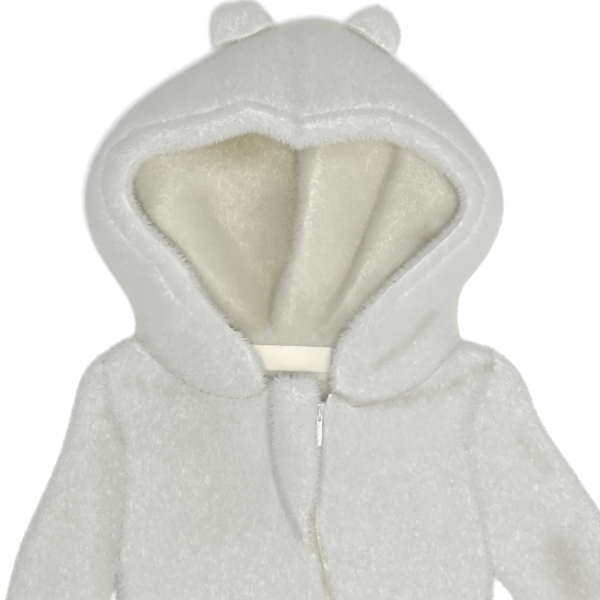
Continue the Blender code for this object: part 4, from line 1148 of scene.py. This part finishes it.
def hair_length(name, at, random):
    """How long each hair is."""
    length = PILE_LENGTH * random.uniform(*LENGTH_SPREAD, len(at.root))
    length = length * (1.0 + FUZZ_LENGTH * at.fuzz + HEM_LENGTH * at.hem)
    if name == "zip_guard":
        return length * GUARD_LENGTH
    if name.startswith("ear"):
        return length * EAR_LENGTH
    length = length * from_low(SEAM_LENGTH, np.maximum(at.seam, at.hidden))
    length = length * from_low(STITCH_LENGTH, at.stitch)
    length = length * (1.0 + COVER_LENGTH * at.cover)
    return length * (1.0 - CRUSHED_LENGTH * at.deep * at.inside)


def hair_tips(name, at, random):
    """Where each hair ends, drawn a little towards its clump."""
    lean = LEAN + LEAN_CHANGE * noise(at.root, LEAN_PATCH, LEAN_SEED)
    lean = lean + UNDER_LEAN * (at.normal[:, 2] < UNDERSIDE)
    lie = hair_lie(name, at)
    leaning = at.normal + lie * lean[:, None]
    stray = (STRAY + FUZZ * at.fuzz)[:, None] * random.normal(0.0, 1.0, at.root.shape)
    length = hair_length(name, at, random)[:, None]
    tip = at.root + unit(leaning + stray) * length
    target = clump_centres(at.root, CLUMP_SIZE) + unit(leaning) * length
    rise = ((target - tip) * at.normal).sum(1)[:, None]
    target = target - rise * at.normal * CLUMP_FLATNESS
    pull = CLUMP_PULL * random.uniform(*CLUMP_SPREAD, len(tip))
    tip = tip + (target - tip) * pull[:, None]
    tip[:, 2] = np.maximum(tip[:, 2], FLOOR_CLEAR)
    return tip


def blade_mesh(name, verts):
    """A mesh of separate triangles, three points each."""
    total = len(verts) // 3
    mesh = bpy.data.meshes.new(name)
    mesh.vertices.add(total * 3)
    mesh.vertices.foreach_set("co", verts.astype(np.float32).ravel())
    mesh.loops.add(total * 3)
    mesh.loops.foreach_set("vertex_index", np.arange(total * 3, dtype=np.int32))
    mesh.polygons.add(total)
    mesh.polygons.foreach_set("loop_start", np.arange(0, total * 3, 3, dtype=np.int32))
    mesh.update(calc_edges=True)
    return mesh


def grow_pile(cloth, name, arrays, fields, random):
    """One joined mesh of tapered hairs on a panel's showing faces."""
    hairs, broader = triangle_hairs(arrays, fields["share"])
    total = int(hairs.sum())
    if total < FEWEST_HAIRS:
        return None
    picked, nearness = pick_roots(hairs, total, random)
    at = root_fields(fields, arrays[2][picked], nearness)
    tip = hair_tips(name, at, random)
    run = unit(tip - at.root)
    facing = unit(at.normal + UPWARD * (at.normal[:, 2:] > UNDERSIDE))
    across = unit(np.cross(run, facing) + random.normal(0.0, BLADE_TWIST, (total, 3)))
    width = HAIR_WIDTH * random.uniform(*WIDTH_SPREAD, total) * broader[picked]
    half = across * (width / 2)[:, None]
    verts = np.stack([at.root - half, at.root + half, tip], 1).reshape(-1, 3)
    verts[:, 2] = np.maximum(verts[:, 2], FLOOR_CLEAR / 2)
    mesh = blade_mesh(name + "_pile", verts)
    store_values(mesh, "along", np.tile([0.0, 0.0, 1.0], total))
    # Painted warm bounce light, stored for the pile's colour
    store_values(mesh, "inside", np.repeat(at.inside, 3))
    # Painted shade, stored for the pile's colour
    store_values(mesh, "deep", np.repeat(at.deep, 3))
    lit = np.repeat(unit(facing + LIT_LEAN * run), 3, axis=0)
    mesh.normals_split_custom_set_from_vertices(lit.astype(np.float32))
    mesh.materials.append(PILE)
    pile = add_object(name + "_pile", mesh)
    pile.parent = cloth
    return pile


# Garment

def make_cloths():
    """A cloth for every fleece panel."""
    graph = bpy.context.evaluated_depsgraph_get()
    trees = {name: BVHTree.FromObject(NODES[name], graph) for name in PANELS}
    cloths = {}
    for name in PANELS:
        others = [tree for other, tree in trees.items() if other != name]
        cloths[name] = make_cloth(name, others, trees[name])
    return cloths


def joined_tree(arrays):
    """The triangles of all cloths in one search tree."""
    all_points = []
    all_faces = []
    start = 0
    for points, _, corners, _ in arrays.values():
        all_points.append(points)
        all_faces.append(corners + start)
        start += len(points)
    return BVHTree.FromPolygons(
        np.concatenate(all_points).tolist(), np.concatenate(all_faces).tolist()
    )


def dress_panels():
    """Cloth and pile for every fleece panel."""
    cloths = make_cloths()
    arrays = {name: mesh_arrays(cloth.data) for name, cloth in cloths.items()}
    whole = joined_tree(arrays)
    random = np.random.default_rng(SEED)
    for name, cloth in cloths.items():
        fields = cloth_fields(name, arrays[name], whole)
        # Painted warm bounce light, stored for the ground's colour
        store_values(cloth.data, "inside", fields["inside"])
        # Painted shade, stored for the ground's colour
        store_values(cloth.data, "deep", fields["deep"])
        pile = grow_pile(cloth, name, arrays[name], fields, random)
        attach(cloth, "garment")
        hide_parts(name)


def dress_trim():
    """Zip tapes, coil, slider, pull and label keep their solids, the metal with rounded edges."""
    looks = {
        "zip_tape_left": ZIP_TAPE_PAINTED_SHADE,
        "zip_tape_right": ZIP_TAPE_PAINTED_SHADE,
        "zip_chain": ZIP_COIL_PAINTED_SHADE,
        "zip_slider": ENAMEL,
        "zip_pull": ENAMEL,
        "neck_label": SATIN,
    }
    for name, look in looks.items():
        mesh = NODES[name].data
        mesh.materials.clear()
        mesh.materials.append(look)
    for name in ("zip_slider", "zip_pull"):
        rounding = NODES[name].modifiers.new("edges", "BEVEL")
        rounding.width = EDGE_ROUND
        rounding.segments = 2
        rounding.limit_method = "ANGLE"
        rounding.angle_limit = EDGE_ANGLE


# Stage

def make_floor():
    """A plain pale floor just below the garment."""
    bpy.ops.mesh.primitive_plane_add(size=FLOOR_SIZE, location=(0.0, 0.0, -FLOOR_DROP))
    floor = bpy.context.object
    floor.name = "floor"
    material, nodes, _ = new_material("floor_white", roughness=0.9)
    nodes["Principled BSDF"].inputs["Base Color"].default_value = FLOOR_WHITE
    floor.data.materials.append(material)


def make_light(name, place, size, power):
    """A round soft light that is aimed at the garment."""
    data = bpy.data.lights.new(name, "AREA")
    data.shape = "DISK"
    data.size = size
    data.energy = power
    light = add_object(name, data)
    light.location = place
    aim = Vector(LIGHT_TARGET) - Vector(place)
    light.rotation_euler = aim.to_track_quat("-Z", "Y").to_euler()


def make_sky():
    """Even white light from all around."""
    world = bpy.data.worlds.new("studio")
    world.use_nodes = True
    background = world.node_tree.nodes["Background"]
    background.inputs["Color"].default_value = WHITE
    background.inputs["Strength"].default_value = SKY_STRENGTH
    bpy.context.scene.world = world


def make_camera():
    """Straight above the photograph's middle, far off, so that it sees with little slant."""
    data = bpy.data.cameras.new("camera")
    data.sensor_fit = "HORIZONTAL"
    data.sensor_width = SENSOR
    data.lens = SENSOR * (CAMERA_HEIGHT - CLOTH_HEIGHT) / VIEW_WIDTH
    data.clip_end = VIEW_END
    camera = add_object("camera", data)
    camera.location = (*VIEW_MIDDLE, CAMERA_HEIGHT)
    bpy.context.scene.camera = camera


def set_tones():
    """Colours are shown as they are, without a film look."""
    view = bpy.context.scene.view_settings
    view.view_transform = "Standard"
    view.look = "None"
    view.exposure = 0.0
    view.gamma = 1.0


def make_stage():
    """Floor, sky, lights, tones and camera."""
    make_floor()
    make_sky()
    for name, (place, size, power) in LIGHTS.items():
        make_light(name, place, size, power)
    set_tones()
    make_camera()


dress_panels()
dress_trim()
make_stage()
